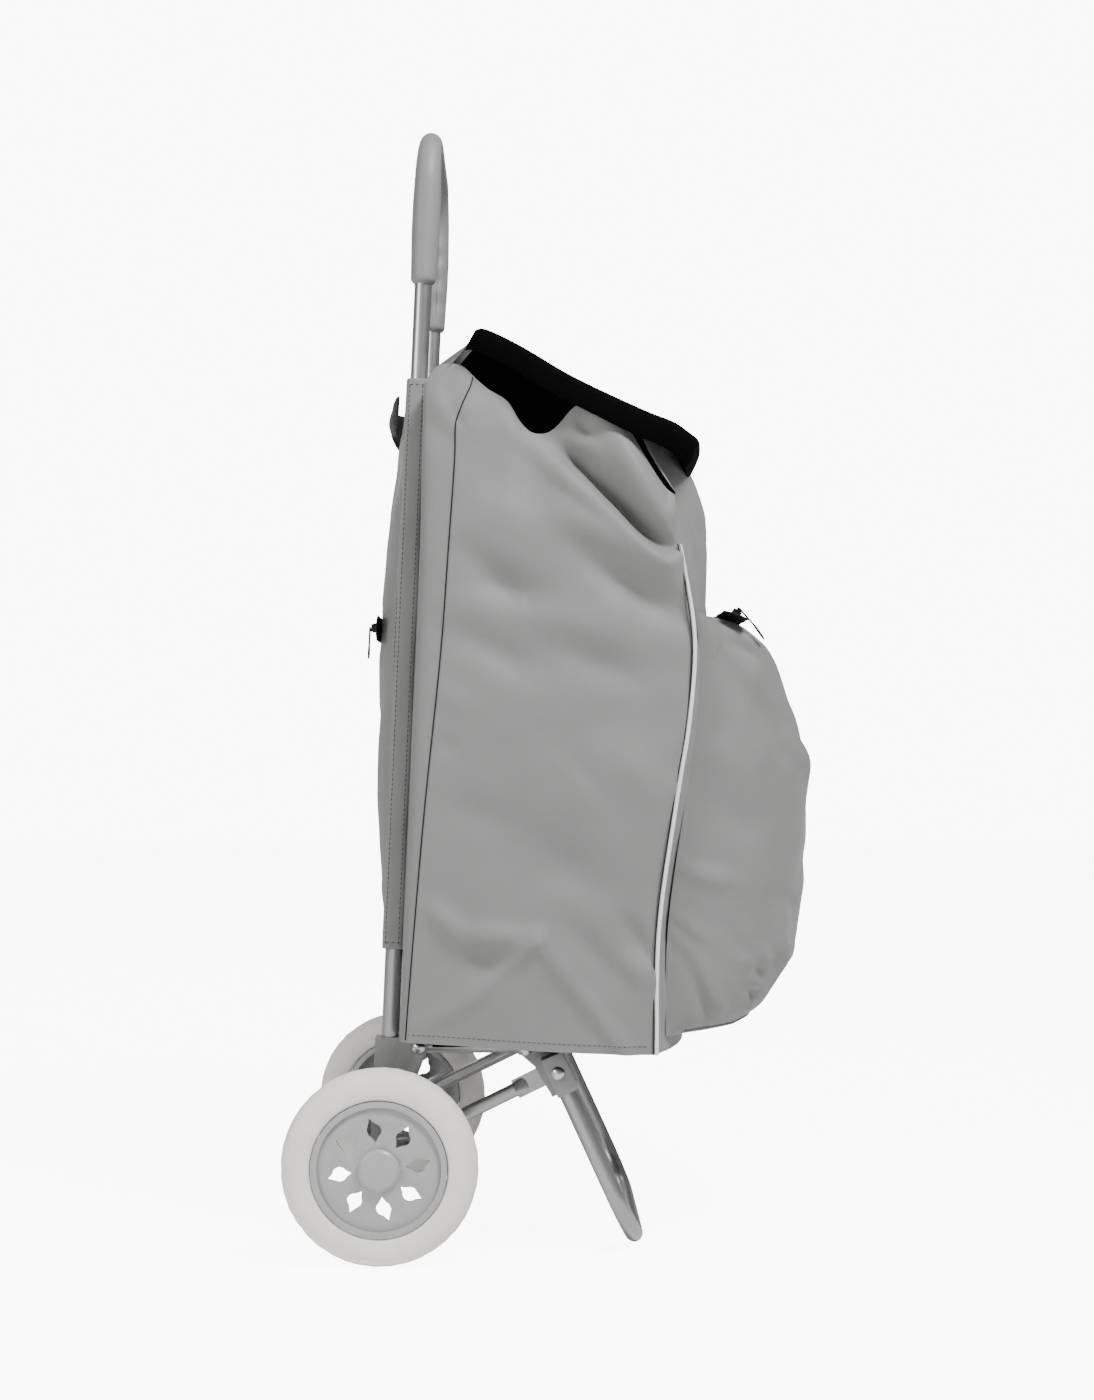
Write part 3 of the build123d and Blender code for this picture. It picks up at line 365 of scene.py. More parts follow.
def thicken(obj, thickness, offset=-1.0, rounded=True, angle=60):
    """Give a sheet its thickness, round it, and shade it smooth."""
    apply_modifier(obj, "SOLIDIFY", thickness=thickness, offset=offset)
    if rounded:
        apply_modifier(obj, "SUBSURF", levels=1, render_levels=1)
    smooth_shade(obj, math.radians(angle))


def new_object(name, data):
    """A new object in the scene for mesh data."""
    obj = bpy.data.objects.new(name, data)
    bpy.context.scene.collection.objects.link(obj)
    return obj


def join(pieces, name):
    """Join pieces into the first one."""
    bpy.ops.object.select_all(action="DESELECT")
    for piece in pieces:
        piece.select_set(True)
    bpy.context.view_layer.objects.active = pieces[0]
    if len(pieces) > 1:
        bpy.ops.object.join()
    pieces[0].name = name
    pieces[0].data.name = name
    return pieces[0]


def dress(obj, name, body, material, replaces=()):
    """Name a piece, give it its finish, and tie it to the frame."""
    obj.name = name
    obj.data.name = name
    if material:
        obj.data.materials.clear()
        obj.data.materials.append(material)
    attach(obj, body)
    if replaces:
        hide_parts(*replaces)
    print(name, len(obj.data.polygons), "faces")
    return obj


# %% Cloth from a grid
def smooth_line(points, share):
    """A point on a smooth line through the given points, share from 0 to 1."""
    spans = len(points) - 1
    place = min(max(share, 0.0), 1.0) * spans
    index = min(int(place), spans - 1)
    t = place - index
    p1, p2 = Vector(points[index]), Vector(points[index + 1])
    p0 = Vector(points[index - 1]) if index > 0 else 2 * p1 - p2
    p3 = Vector(points[index + 2]) if index + 2 <= spans else 2 * p2 - p1
    return 0.5 * (2 * p1 + (p2 - p0) * t + (2 * p0 - 5 * p1 + 4 * p2 - p3) * t ** 2
                  + (3 * p1 - p0 - 3 * p2 + p3) * t ** 3)


def cloth(columns, rows, place):
    """A grid whose points are laid by place(u, v), with u across and v up, both 0 to 1."""
    bpy.ops.object.select_all(action="DESELECT")
    bpy.ops.mesh.primitive_grid_add(x_subdivisions=columns, y_subdivisions=rows, size=1)
    sheet = bpy.context.active_object
    for vertex in sheet.data.vertices:
        vertex.co = place(vertex.co.x + 0.5, vertex.co.y + 0.5)
    return sheet


def blend_edges(left, right, bottom, top, u, v):
    """A point inside four edge lines, drawn from all of them."""
    corners = ((1 - u) * (1 - v) * bottom(0) + u * (1 - v) * bottom(1)
               + (1 - u) * v * top(0) + u * v * top(1))
    return (1 - u) * left(v) + u * right(v) + (1 - v) * bottom(u) + v * top(u) - corners


def swell(share, power=0.5):
    """A bulge that is 0 at both ends and 1 in the middle."""
    return (max(0.0, 4 * share * (1 - share))) ** power


# %% Creases
def near_segment(point, start, end):
    """How far a point is from a segment, and its share of the way along it."""
    run = end - start
    share = max(0.0, min(1.0, (point - start).dot(run) / run.length_squared))
    return (point - (start + run * share)).length, share


def crease(obj, strokes, limit=None):
    """Push points along their normals: each stroke is (start, end, width, height, taper) in millimetres."""
    normals = [vertex.normal.copy() for vertex in obj.data.vertices]
    for vertex, normal in zip(obj.data.vertices, normals):
        if limit and not limit(vertex.co):
            continue
        push = 0.0
        for start, end, width, height, taper in strokes:
            distance, share = near_segment(vertex.co, start, end)
            reach = distance / (width * MM)
            if reach < 3:
                fade = math.sin(math.pi * (0.12 + 0.76 * share)) ** taper
                push += height * MM * fade * math.exp(-reach ** 2)
        vertex.co += normal * push
    obj.data.update()


def rumple(obj, size, height, seed, keep=None):
    """Soft uneven waves in cloth; keep(point) from 0 to 1 calms a stretch."""
    normals = [vertex.normal.copy() for vertex in obj.data.vertices]
    shift = Vector((seed * 3.1, seed * 7.7, seed * 1.3))
    for vertex, normal in zip(obj.data.vertices, normals):
        wave = noise.noise(vertex.co / (size * MM) + shift)
        ridge = 0.5 - abs(noise.noise(vertex.co / (size * 1.7 * MM) - shift))
        calm = keep(vertex.co) if keep else 1.0
        vertex.co += normal * (height * MM * calm * (0.7 * wave + 0.6 * ridge))
    obj.data.update()


# %% Strands and stitches
def heading(points, share, step):
    """The direction of a smooth line at a share, judged a step to either side."""
    ahead = smooth_line(points, min(1, share + step)) - smooth_line(points, max(0, share - step))
    return ahead.normalized()


def wall(mesh, rings):
    """Faces between neighbouring rings of points, and a cap at both ends."""
    for low, high in zip(rings, rings[1:]):
        for turn in range(len(low)):
            following = (turn + 1) % len(low)
            mesh.faces.new((low[turn], low[following], high[following], high[turn]))
    mesh.faces.new(rings[0][::-1])
    mesh.faces.new(rings[-1])


def release(mesh, name):
    """Turn a working mesh into an object."""
    bmesh.ops.recalc_face_normals(mesh, faces=mesh.faces)
    data = bpy.data.meshes.new(name)
    mesh.to_mesh(data)
    mesh.free()
    return new_object(name, data)


def strand(points, radius, sides=10, steps=60, flat=1.0, side=Vector((1, 0, 0))):
    """A round or flat cord along a smooth line; radius may be a function of the share."""
    mesh = bmesh.new()
    rings = []
    for step in range(steps + 1):
        share = step / steps
        centre = smooth_line(points, share)
        ahead = heading(points, share, 0.004)
        across = (side - ahead * side.dot(ahead)).normalized()
        up = ahead.cross(across)
        size = (radius(share) if callable(radius) else radius) * MM
        ring = []
        for turn in range(sides):
            angle = 2 * math.pi * turn / sides
            ring.append(mesh.verts.new(centre + across * size * math.cos(angle)
                                       + up * size * flat * math.sin(angle)))
        rings.append(ring)
    wall(mesh, rings)
    obj = release(mesh, "strand")
    smooth_shade(obj, math.radians(60))
    return obj


def stitches(points, normal, pitch=4.2, length=2.8, thick=0.45):
    """A row of sewn stitches along a smooth line, each a small rounded bar."""
    parts = 40
    total = sum((smooth_line(points, (i + 1) / parts) - smooth_line(points, i / parts)).length
                for i in range(parts))
    count = max(2, int(total / (pitch * MM)))
    mesh = bmesh.new()
    for index in range(count):
        share = (index + 0.5) / count
        centre = smooth_line(points, share)
        ahead = heading(points, share, 0.01)
        across = normal.cross(ahead).normalized()
        half = ahead * length * MM / 2
        ends = []
        for way, size in ((-1.0, 0.35), (-0.6, 1.0), (0.6, 1.0), (1.0, 0.35)):
            ring = []
            for turn in range(6):
                angle = math.pi * turn / 3
                offset = across * math.cos(angle) + normal * math.sin(angle)
                ring.append(mesh.verts.new(centre + half * way + offset * thick * size * MM))
            ends.append(ring)
        wall(mesh, ends)
    return release(mesh, "stitches")


def folds_flat(obj):
    """Gives the piece its own copy of its mesh; the cloth is not flattened here."""
    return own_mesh(obj)


print("helpers ready")

# %% [markdown]
# ## The bag's shell
# The bag is one cloth shell: a back, two sides and a bulging front, open at the top. A real bag is
# cut flat and sewn, so its shape is given by its edges: the back corner, the piped front corner, the
# hem and the drooping rim. Each panel is a grid drawn between its four edges. The panels are then
# joined at the corners, so the shell is continuous, and long creases are pressed into it.

# %% Edges of the bag
HEM_BACK = 101.0
HEM_FRONT = 90.5
FRONT_SEAM = [(228.8, 90.5), (230.8, 195.5), (245.8, 303.5), (256.5, 371.0), (260.8, 437.5), (252.5, 499.0),
              (247.0, 530.0), (248.0, 558.0)]
SIDE_RIM = [(35.3, 652.0), (48.0, 668.6), (66.2, 668.8), (77.0, 658.8), (90.0, 647.5), (106.0, 639.0),
            (115.5, 622.0), (126.0, 611.5), (140.0, 612.5), (152.0, 622.5), (160.0, 632.0), (171.0, 637.0),
            (186.0, 633.0), (202.4, 622.0), (213.2, 605.3), (224.1, 583.6), (236.0, 566.0), (248.0, 558.0)]
FRONT_REACH = 282.3
TURN_START = 0.86
BACK_GAP = 10.2
FRONT_ROUNDNESS = 2.4
PIPING_SHARE = 0.79
SHELL_X = BAG_X - 0.6


def back_edge(v):
    top_f, top_r = SIDE_RIM[0]
    r = HEM_BACK + v * (top_r - HEM_BACK)
    step_out = top_f - top_r * math.tan(LEAN) - BACK_GAP
    return Vector((r * math.tan(LEAN) + BACK_GAP + step_out * v ** 6, r))


def front_edge(v):
    return smooth_line(FRONT_SEAM, v)


def hem_edge(u):
    sag = 3.0 * math.sin(math.pi * u)
    low = back_edge(0)
    r = HEM_BACK + u * (HEM_FRONT - HEM_BACK) - sag * u
    return Vector((low.x + u * (FRONT_SEAM[0][0] - low.x), r))


def rim_edge(u):
    return smooth_line(SIDE_RIM, u)


# %% Side, front and back panels
def side_place(way):
    """The side panel on one side; way is -1 or +1 along x."""
    def place(u, v):
        flat = blend_edges(back_edge, front_edge, hem_edge, rim_edge, u, v)
        belly = 5.0 * swell(u) * swell(v, 0.7)
        lean_in = 13.0 * max(0.0, (v - 0.72) / 0.28) ** 1.6 * swell(u, 0.4)
        round_back = 6.0 * max(0.0, 1 - u / 0.05) ** 2
        return at(way * (SHELL_X + belly - lean_in - round_back), flat.x, flat.y)
    return place


def front_bulge(seam_f):
    """How far the middle of the front stands ahead of its seams: more where they step back."""
    return min(34.0, FRONT_REACH - seam_f)


def front_place(u, v):
    """The front panel: it bulges between the piped seams, and its top edge turns in."""
    side = abs(2 * u - 1)
    way = 1 if u > 0.5 else -1
    turn = max(0.0, (v - TURN_START) / (1 - TURN_START))
    seam_and_gap_shade = front_edge(min(v, TURN_START)) if turn else front_edge(v)
    rise = 1 - side ** FRONT_ROUNDNESS
    flat = Vector((seam_and_gap_shade.x + front_bulge(seam_and_gap_shade.x) * rise, seam_and_gap_shade.y))
    x = way * side * SHELL_X
    if turn:
        free = min(1.0, (1 - side) / 0.07)
        free = free * free * (3 - 2 * free)
        edge = front_edge(v)
        top = Vector((212.0, 612.0)).lerp(Vector((263.0, 603.0)), rise ** 1.1)
        knee = Vector((flat.x - 1.0, flat.y + 31.0))
        curved = flat * (1 - turn) ** 2 + 2 * turn * (1 - turn) * knee + top * turn ** 2
        flat = edge.lerp(curved, free)
        x *= 1 - 0.06 * free * turn
    return at(x, flat.x, flat.y)


def back_place(u, v):
    """The back panel lies against the uprights; its corners meet the sides."""
    edge = back_edge(v)
    x = (1 - 2 * u) * (SHELL_X - 6.0)
    return at(x, edge.x, edge.y)


ROWS = 96
left_side = cloth(44, ROWS, lambda u, v: side_place(-1)(1 - u, v))
right_side = cloth(44, ROWS, side_place(1))
front = cloth(52, ROWS, lambda u, v: front_place(1 - u, v))
back = cloth(36, ROWS, lambda u, v: back_place(1 - u, v))
bag = join([left_side, right_side, front, back], "bag_shell")
tidy_mesh(bag, 0.0004)
print("bag shell", len(bag.data.vertices), "points")

# %% [markdown]
# ## Creases in the bag
# An empty bag slumps. Its front rim folds over itself and one long fold runs down to the point where
# the piping starts. Lower down there are soft waves and the pressed lines of the flat packed cloth.
# Each crease is one stroke: a line, a width and a height. The same strokes serve both sides, with a
# little shift, and slow noise keeps the two sides from being twins.


# %% Strokes on the sides
def stroke(start, end, width, height, taper=1.0):
    return (start, end, width, height, taper)


SIDE_GAIN = 2.4
SIDE_STROKES = [
    stroke((112, 618), (238, 503), 10, 4.4, 0.4), stroke((127, 618), (240, 514), 8, -8.5, 0.4),
    stroke((150, 608), (236, 526), 12, -3.5, 0.5), stroke((182, 640), (243, 514), 11, 5.0, 0.5),
    stroke((207, 618), (242, 545), 9, 3.5, 0.8), stroke((165, 622), (178, 612), 8, -6.0),
    stroke((152, 634), (190, 640), 6, 3.0), stroke((72, 560), (236, 480), 20, 2.4),
    stroke((62, 624), (130, 620), 5, -1.2), stroke((64, 624), (96, 646), 7, 2.0),
    stroke((57, 634), (66, 618), 5, -4.0), stroke((40, 648), (60, 618), 7, 2.6),
    stroke((68, 622), (104, 616), 4, 1.6), stroke((30, 628), (56, 604), 6, -1.6),
    stroke((136, 606), (172, 588), 7, -3.4), stroke((118, 604), (140, 586), 6, 2.0),
    stroke((68, 512), (122, 474), 15, -3.6), stroke((140, 528), (250, 462), 16, -3.8),
    stroke((150, 548), (246, 488), 12, 3.0), stroke((57, 446), (134, 408), 15, -3.2),
    stroke((66, 488), (142, 467), 13, -2.4), stroke((185, 494), (246, 456), 13, -2.6),
    stroke((145, 430), (222, 405), 15, -2.8), stroke((100, 470), (200, 440), 16, 2.4),
    stroke((116, 377), (135, 359), 3.2, -1.1), stroke((134, 359), (146, 341), 2.8, 1.0),
    stroke((146, 341), (185, 296), 4.0, 1.5), stroke((118, 362), (136, 378), 4, 0.9),
    stroke((150, 350), (188, 300), 9, -1.2), stroke((200, 340), (240, 300), 18, 1.8),
    stroke((46, 400), (70, 380), 9, 1.2), stroke((50, 352), (60, 345), 7, -1.4),
    stroke((129, 264), (196, 222), 20, -3.4), stroke((60, 300), (110, 280), 18, -2.0),
    stroke((41, 214), (66, 191), 8, 3.2), stroke((66, 191), (131, 187), 8, 3.6),
    stroke((131, 187), (206, 91), 6, 3.0, 0.4), stroke((131, 187), (76, 137), 6, 2.2, 0.4),
    stroke((76, 137), (30, 112), 8, 1.6), stroke((66, 172), (112, 160), 15, -3.0),
    stroke((204, 204), (225, 169), 8, -3.2), stroke((206, 172), (226, 150), 9, 2.2),
    stroke((150, 205), (200, 150), 11, -2.4), stroke((118, 470), (118, 330), 3.0, 0.7),
]

# %% Fine strokes, pressed in once the shell is smooth
FINE_STROKES = [
    stroke((131, 187), (206, 91), 2.6, 1.3, 0.3), stroke((131, 187), (76, 137), 2.6, 1.1, 0.4),
    stroke((66, 191), (131, 187), 2.8, 1.3, 0.3), stroke((41, 214), (66, 191), 3.0, 1.2, 0.4),
    stroke((116, 377), (146, 341), 2.4, -0.8, 0.5), stroke((146, 341), (185, 296), 2.6, 0.9, 0.4),
    stroke((118, 560), (118, 330), 2.4, 0.5, 0.6), stroke((204, 204), (225, 169), 2.8, -1.0, 0.5),
    stroke((76, 602), (90, 600), 2.4, -0.9, 0.5), stroke((60, 352), (72, 344), 2.4, -0.9, 0.6),
    stroke((136, 612), (232, 520), 3.0, -1.2, 0.3), stroke((190, 640), (236, 560), 3.0, 0.9, 0.4),
    stroke((46, 644), (62, 616), 2.6, 1.0, 0.4), stroke((64, 618), (112, 610), 2.4, 0.8, 0.5),
]


def on_side(strokes, way, shift=0, gain=1.0):
    """Strokes laid on one side of the bag."""
    x = way * BAG_X
    return [(at(x, a[0] + shift, a[1]), at(x, b[0] + shift, b[1]), width, height * gain, taper)
            for a, b, width, height, taper in strokes]


def side_only(way):
    return lambda point: way * point.x > (BAG_X - 22) * MM and AXLE.y - point.y > 12 * MM


crease(bag, on_side(SIDE_STROKES, -1, 0, SIDE_GAIN), side_only(-1))
crease(bag, on_side(SIDE_STROKES, 1, 5, SIDE_GAIN), side_only(1))

# %% Strokes on the front, and slow waves all over
FRONT_STROKES = [
    stroke((-150, 262, 540), (-60, 290, 470), 16, -3.0), stroke((-140, 268, 590), (-70, 280, 520), 12, -3.2),
    stroke((150, 262, 550), (50, 290, 480), 16, -3.0), stroke((-100, 280, 560), (90, 285, 540), 14, 2.4),
    stroke((30, 285, 590), (110, 275, 500), 12, -2.6), stroke((-20, 285, 600), (-10, 285, 500), 14, 1.8),
]
crease(bag, [(at(*a), at(*b), width, height, taper) for a, b, width, height, taper in FRONT_STROKES])


def loose_cloth(point):
    """The seams and the hem hold the cloth; between them it is free."""
    f = (AXLE.y - point.y) / MM
    r = (point.z - AXLE.z) / MM
    from_back = (f - back_edge(0).x) / 60
    from_hem = (r - HEM_FRONT) / 60
    return max(0.0, min(1.0, from_back, from_hem))


rumple(bag, 75, 5.0, 1, loose_cloth)
rumple(bag, 28, 1.6, 2, loose_cloth)
print("bag creased")

# %% Thickness and smoothing
only(bag)
bpy.ops.object.mode_set(mode="EDIT")
bpy.ops.mesh.select_all(action="SELECT")
bpy.ops.mesh.normals_make_consistent(inside=False)
bpy.ops.object.mode_set(mode="OBJECT")
apply_modifier(bag, "SUBSURF", levels=1, render_levels=1)
crease(bag, on_side(FINE_STROKES, -1) + on_side(FINE_STROKES, 1))
bag.data.materials.append(bag_cloth)
bag.data.materials.append(lining_cloth)
apply_modifier(bag, "SOLIDIFY", thickness=0.0012, offset=-1.0, material_offset=1)
smooth_shade(bag, math.radians(60))
dress(bag, "bag_shell", "frame", None,
      ["bag_front_panel", "left_bag_side_panel", "right_bag_side_panel", "bag_back_panel"])
folds_flat(bag)

# %% [markdown]
# ## Seams, piping and the hem
# A pale piping is sewn into each front corner. It is thin at its top end and full below. The back
# corner is a plain seam that shows as a dark line, bent where the cloth is pinched near the rim. A
# row of stitches runs along the hem. All are strands that follow the shell's own surface.


# %% Lay a strand on the shell
def surface_of(obj):
    mesh = bmesh.new()
    mesh.from_mesh(obj.data)
    tree = BVHTree.FromBMesh(mesh)
    mesh.free()
    return tree


bag_surface = surface_of(bag)


def laid_on(surface, points, lift, steps=40, toward=None):
    """Points of a smooth line, moved onto a surface and lifted a little off it."""
    laid = []
    for step in range(steps + 1):
        place = smooth_line(points, step / steps)
        if toward:
            hit = surface.ray_cast(place + toward * 40 * MM, -toward)[0] or place
            normal = toward
        else:
            hit, normal, _, _ = surface.find_nearest(place)
        laid.append(hit + normal * lift * MM)
    return laid


# %% Piping
def piping_radius(share):
    return 0.6 + 1.15 * min(1.0, (1 - share) / 0.25)


for way, label in ((-1, "left"), (1, "right")):
    line = [at(way * (BAG_X - 1.0), *front_edge(PIPING_SHARE * step / 24)) for step in range(25)]
    run = [point + Vector((way * 0.6 * MM, -1.6 * MM, 0)) for point in line]
    piping = strand(run, piping_radius, sides=12, steps=110)
    folds_flat(dress(piping, f"{label}_corner_piping_cord", "frame", piping_cloth,
                     [f"{label}_corner_piping"]))
    # Behind each piping a thin black strand is painted shadow: it stands in for the dark line along the
    # piping's edge.
    run = [point + Vector((way * 1.6 * MM, 1.0 * MM, 0)) for point in line]
    shadow = strand(run, 0.55, sides=6, steps=110)
    folds_flat(dress(shadow, f"{label}_piping_shadow_strand", "frame", black_thread_and_gap_shade))

# %% Back seam
BACK_SEAM = [(20.4, 103), (24.0, 150), (36.0, 290), (49.5, 420), (57.0, 520), (61.5, 585), (62.1, 613),
             (63.5, 623), (68.9, 637.4), (74.5, 650), (76.7, 658)]
for way, label in ((-1, "left"), (1, "right")):
    outer = Vector((way, 0, 0))
    guide = [at(way * BAG_X, f, r) for f, r in BACK_SEAM]
    seam_and_gap_shade = strand(laid_on(bag_surface, guide, 0.3, 90, outer), 0.8, sides=8, steps=180, flat=0.7)
    folds_flat(dress(seam_and_gap_shade, f"{label}_back_seam", "frame", black_thread_and_gap_shade))
    hem_line = [at(way * BAG_X, *(hem_edge(0.03 + 0.94 * step / 20) + Vector((0, 7)))) for step in range(21)]
    hem = stitches(laid_on(bag_surface, hem_line, 0.1, 30, outer), outer, thick=0.35)
    folds_flat(dress(hem, f"{label}_hem_stitches", "frame", thread_grey))
print("seams sewn")

# %% [markdown]
# ## The top strip and the lining
# Behind the rim, a strip of the bag's cloth rises from the back to the lid's hinge line, with a small
# gusset at each end. Inside the bag hangs a black lining that stands above the drooping rim. All are
# thin cloth, made as grids.

# %% Top strip
RIDGE = (78.8, 695.5)


def strip_place(u, v):
    low = Vector((38.5, 653.0))
    high = Vector((RIDGE[0] - 1.5, RIDGE[1] - 2.2))
    flat = low.lerp(high, v)
    sag = -3.0 * math.sin(math.pi * v) * (0.6 + 0.4 * math.cos(6 * math.pi * u))
    return at((2 * u - 1) * (BAG_X - 8 + 3 * v), flat.x, flat.y + sag)


strip = cloth(40, 12, strip_place)
tidy_mesh(strip)
thicken(strip, 0.0014)
folds_flat(dress(strip, "bag_top_strip", "frame", bag_cloth))

# %% Side gussets of the top strip
for way, label in ((-1, "left"), (1, "right")):
    def gusset_place(u, v, way=way):
        low = Vector((40.0, 664.0)).lerp(Vector((60.0, 664.0)), u)
        flat = low.lerp(Vector((86.0, 695.0)), v)
        puff = 1.2 * math.sin(math.pi * v) * (1 - u)
        return at(way * (BAG_X - 16 + 3 * v - 3 * u), flat.x, flat.y + puff)

    gusset = cloth(10, 20, gusset_place)
    tidy_mesh(gusset)
    thicken(gusset, 0.0012, offset=0.0, rounded=False)
    folds_flat(dress(gusset, f"{label}_strip_gusset", "frame", bag_cloth))

# %% Lining
LID_PROFILE = [RIDGE, (88.0, 696.2), (118.0, 682.0), (153.0, 661.5), (191.6, 642.2), (223.0, 627.4),
               (244.0, 619.5), (257.0, 610.8), (266.2, 603.4)]
LINING_BACK = 45.0
LINING_FRONT = 224.0
LINING_LOW = 520.0


def under_lid(f):
    """How high the lining reaches under the lid at a forward place."""
    ridge_f, ridge_r = RIDGE
    slope = (ridge_r - 608.0) / (266.0 - ridge_f)
    if f < ridge_f:
        return 655.0 + (f - 40.0) * (36.0 / 38.8)
    return ridge_r - slope * (f - ridge_f) - 5.0


def lining_place(u, v):
    """A ring inside the bag: back, one side, front, the other side."""
    half = 122.0 + 28.0 * (1 - v) ** 2
    span = LINING_FRONT - LINING_BACK
    lap = 2 * (2 * half + span) * u
    if lap < 2 * half:
        x, f = half - lap, LINING_BACK
    elif lap < 2 * half + span:
        x, f = -half, LINING_BACK + lap - 2 * half
    elif lap < 4 * half + span:
        x, f = -half + (lap - 2 * half - span), LINING_FRONT
    else:
        x, f = half, LINING_FRONT - (lap - 4 * half - span)
    if abs(x) > half - 1:
        pull = 5.0 * math.sin(f / 17.0) * v
        x -= math.copysign(1, x) * (2 + abs(pull))
    return at(x, f, LINING_LOW + v * (under_lid(f) - LINING_LOW))


lining = cloth(150, 24, lining_place)
tidy_mesh(lining, 0.0003)
rumple(lining, 30, 1.6, 5)
thicken(lining, 0.0012)
folds_flat(dress(lining, "bag_lining_collar", "frame", lining_cloth, ["bag_collar"]))

# %% [markdown]
# ## The bag's bottom
# Under the board the cloth bottom lies on the platform and folds up with it, so it rides there.

# %% Bottom cloth
bottom_low, bottom_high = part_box("bag_bottom_panel")


def bottom_place(u, v):
    x = bottom_low.x + u * (bottom_high.x - bottom_low.x)
    y = bottom_low.y + v * (bottom_high.y - bottom_low.y)
    quilt = 0.25 * MM * math.sin(9 * math.pi * u) * math.sin(5 * math.pi * v)
    return Vector((x, y, bottom_low.z + 0.9 * MM + quilt))


bottom = cloth(60, 40, bottom_place)
tidy_mesh(bottom)
thicken(bottom, 0.0011, offset=0.0, rounded=False)
dress(bottom, "bag_bottom_cloth", "platform", lining_cloth, ["bag_bottom_panel"])

# %% [markdown]
# ## The lid
# The lid is a black flap, hinged on a fold at the back. It is stiffer than the bag: a gentle ridge at
# the hinge, a long slope, and a lip that tucks down in front. Short skirts hang at its sides. A narrow
# tape binds the fold.

# %% Lid from a grid
LID_HALF = 167.0
LID_LIP = (252.5, 582.0)
LIP_START = 0.88
SKIRT_SHARE = 0.13


def lid_place(u, v):
    """u runs across and down both skirts; v runs from the hinge to the lip."""
    across = (2 * u - 1) * (1 + SKIRT_SHARE)
    x = max(-1.0, min(1.0, across)) * LID_HALF
    skirt = max(0.0, abs(across) - 1.0) / SKIRT_SHARE
    lip = max(0.0, (v - LIP_START) / (1 - LIP_START))
    flat = smooth_line(LID_PROFILE, v / LIP_START)
    if lip > 0:
        flat = Vector(LID_PROFILE[-1]).lerp(Vector(LID_LIP), lip)
    crown = 2.0 * (1 - (x / LID_HALF) ** 2)
    bow = 14.0 * (1 - (x / LID_HALF) ** 2) * v ** 2
    droop = skirt * (20.0 + 4.5 * v) * (1 - lip)
    tuck = 5.0 * skirt ** 2
    ripple = 1.2 * math.sin(9 * v + 1.0) * skirt
    return at(x - math.copysign(tuck + ripple, x) * (skirt > 0), flat.x + bow - 0.45 * droop,
              flat.y + crown - 0.88 * droop)


lid = cloth(64, 44, lid_place)
tidy_mesh(lid)
rumple(lid, 60, 0.9, 8)
thicken(lid, 0.0022, angle=50)
dress(lid, "bag_lid_flap", "lid", lining_cloth, ["bag_lid"])
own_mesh(lid)

# %% Hinge tape behind the ridge
tape_low, tape_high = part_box("lid_hinge_tape")


def hinge_tape_place(u, v):
    x = tape_low.x + u * (tape_high.x - tape_low.x)
    y = tape_low.y + v * (tape_high.y - tape_low.y)
    z = tape_high.z + v * (tape_low.z - tape_high.z)
    return Vector((x, y, z - 0.1 * MM - 0.3 * MM * math.sin(40 * u) * math.sin(math.pi * v)))


hinge_tape = cloth(60, 8, hinge_tape_place)
tidy_mesh(hinge_tape)
thicken(hinge_tape, 0.0008, offset=0.0, rounded=False)
dress(hinge_tape, "lid_hinge_binding", "lid_hinge", lining_cloth, ["lid_hinge_tape"])
print("lid done")

# %% [markdown]
# ## Sleeves on the uprights
# Two narrow cloth channels are sewn to the back panel and slide over the uprights. They carry the
# bag. Each is a flattened ring drawn along its upright, with a stitched hem at both ends and a row of
# stitches down its outer face. The seam that joins it to the bag shows as a pale edge, and the dark
# gap beside it is painted shade: a thin black strand.

# %% Sleeve
SLEEVE_LOW = 174.5
SLEEVE_HIGH = 664.0
SLEEVE_FLAT = 12.5
SLEEVE_DEEP = 9.9


def sleeve_place(x_axis):
    def place(u, v):
        angle = 2 * math.pi * u
        along = (SLEEVE_LOW + v * (SLEEVE_HIGH - SLEEVE_LOW)) / math.cos(LEAN)
        cosine, sine = math.cos(angle), math.sin(angle)
        across = SLEEVE_FLAT * math.copysign(abs(cosine) ** 0.5, cosine)
        ahead = SLEEVE_DEEP * math.copysign(abs(sine) ** 0.5, sine)
        wave = 0.5 * math.sin(along / 21.0 + angle * 2) * min(1.0, 6 * v, 6 * (1 - v))
        return on_upright(x_axis + across + wave * cosine, ahead + wave * sine - 0.4, along)
    return place


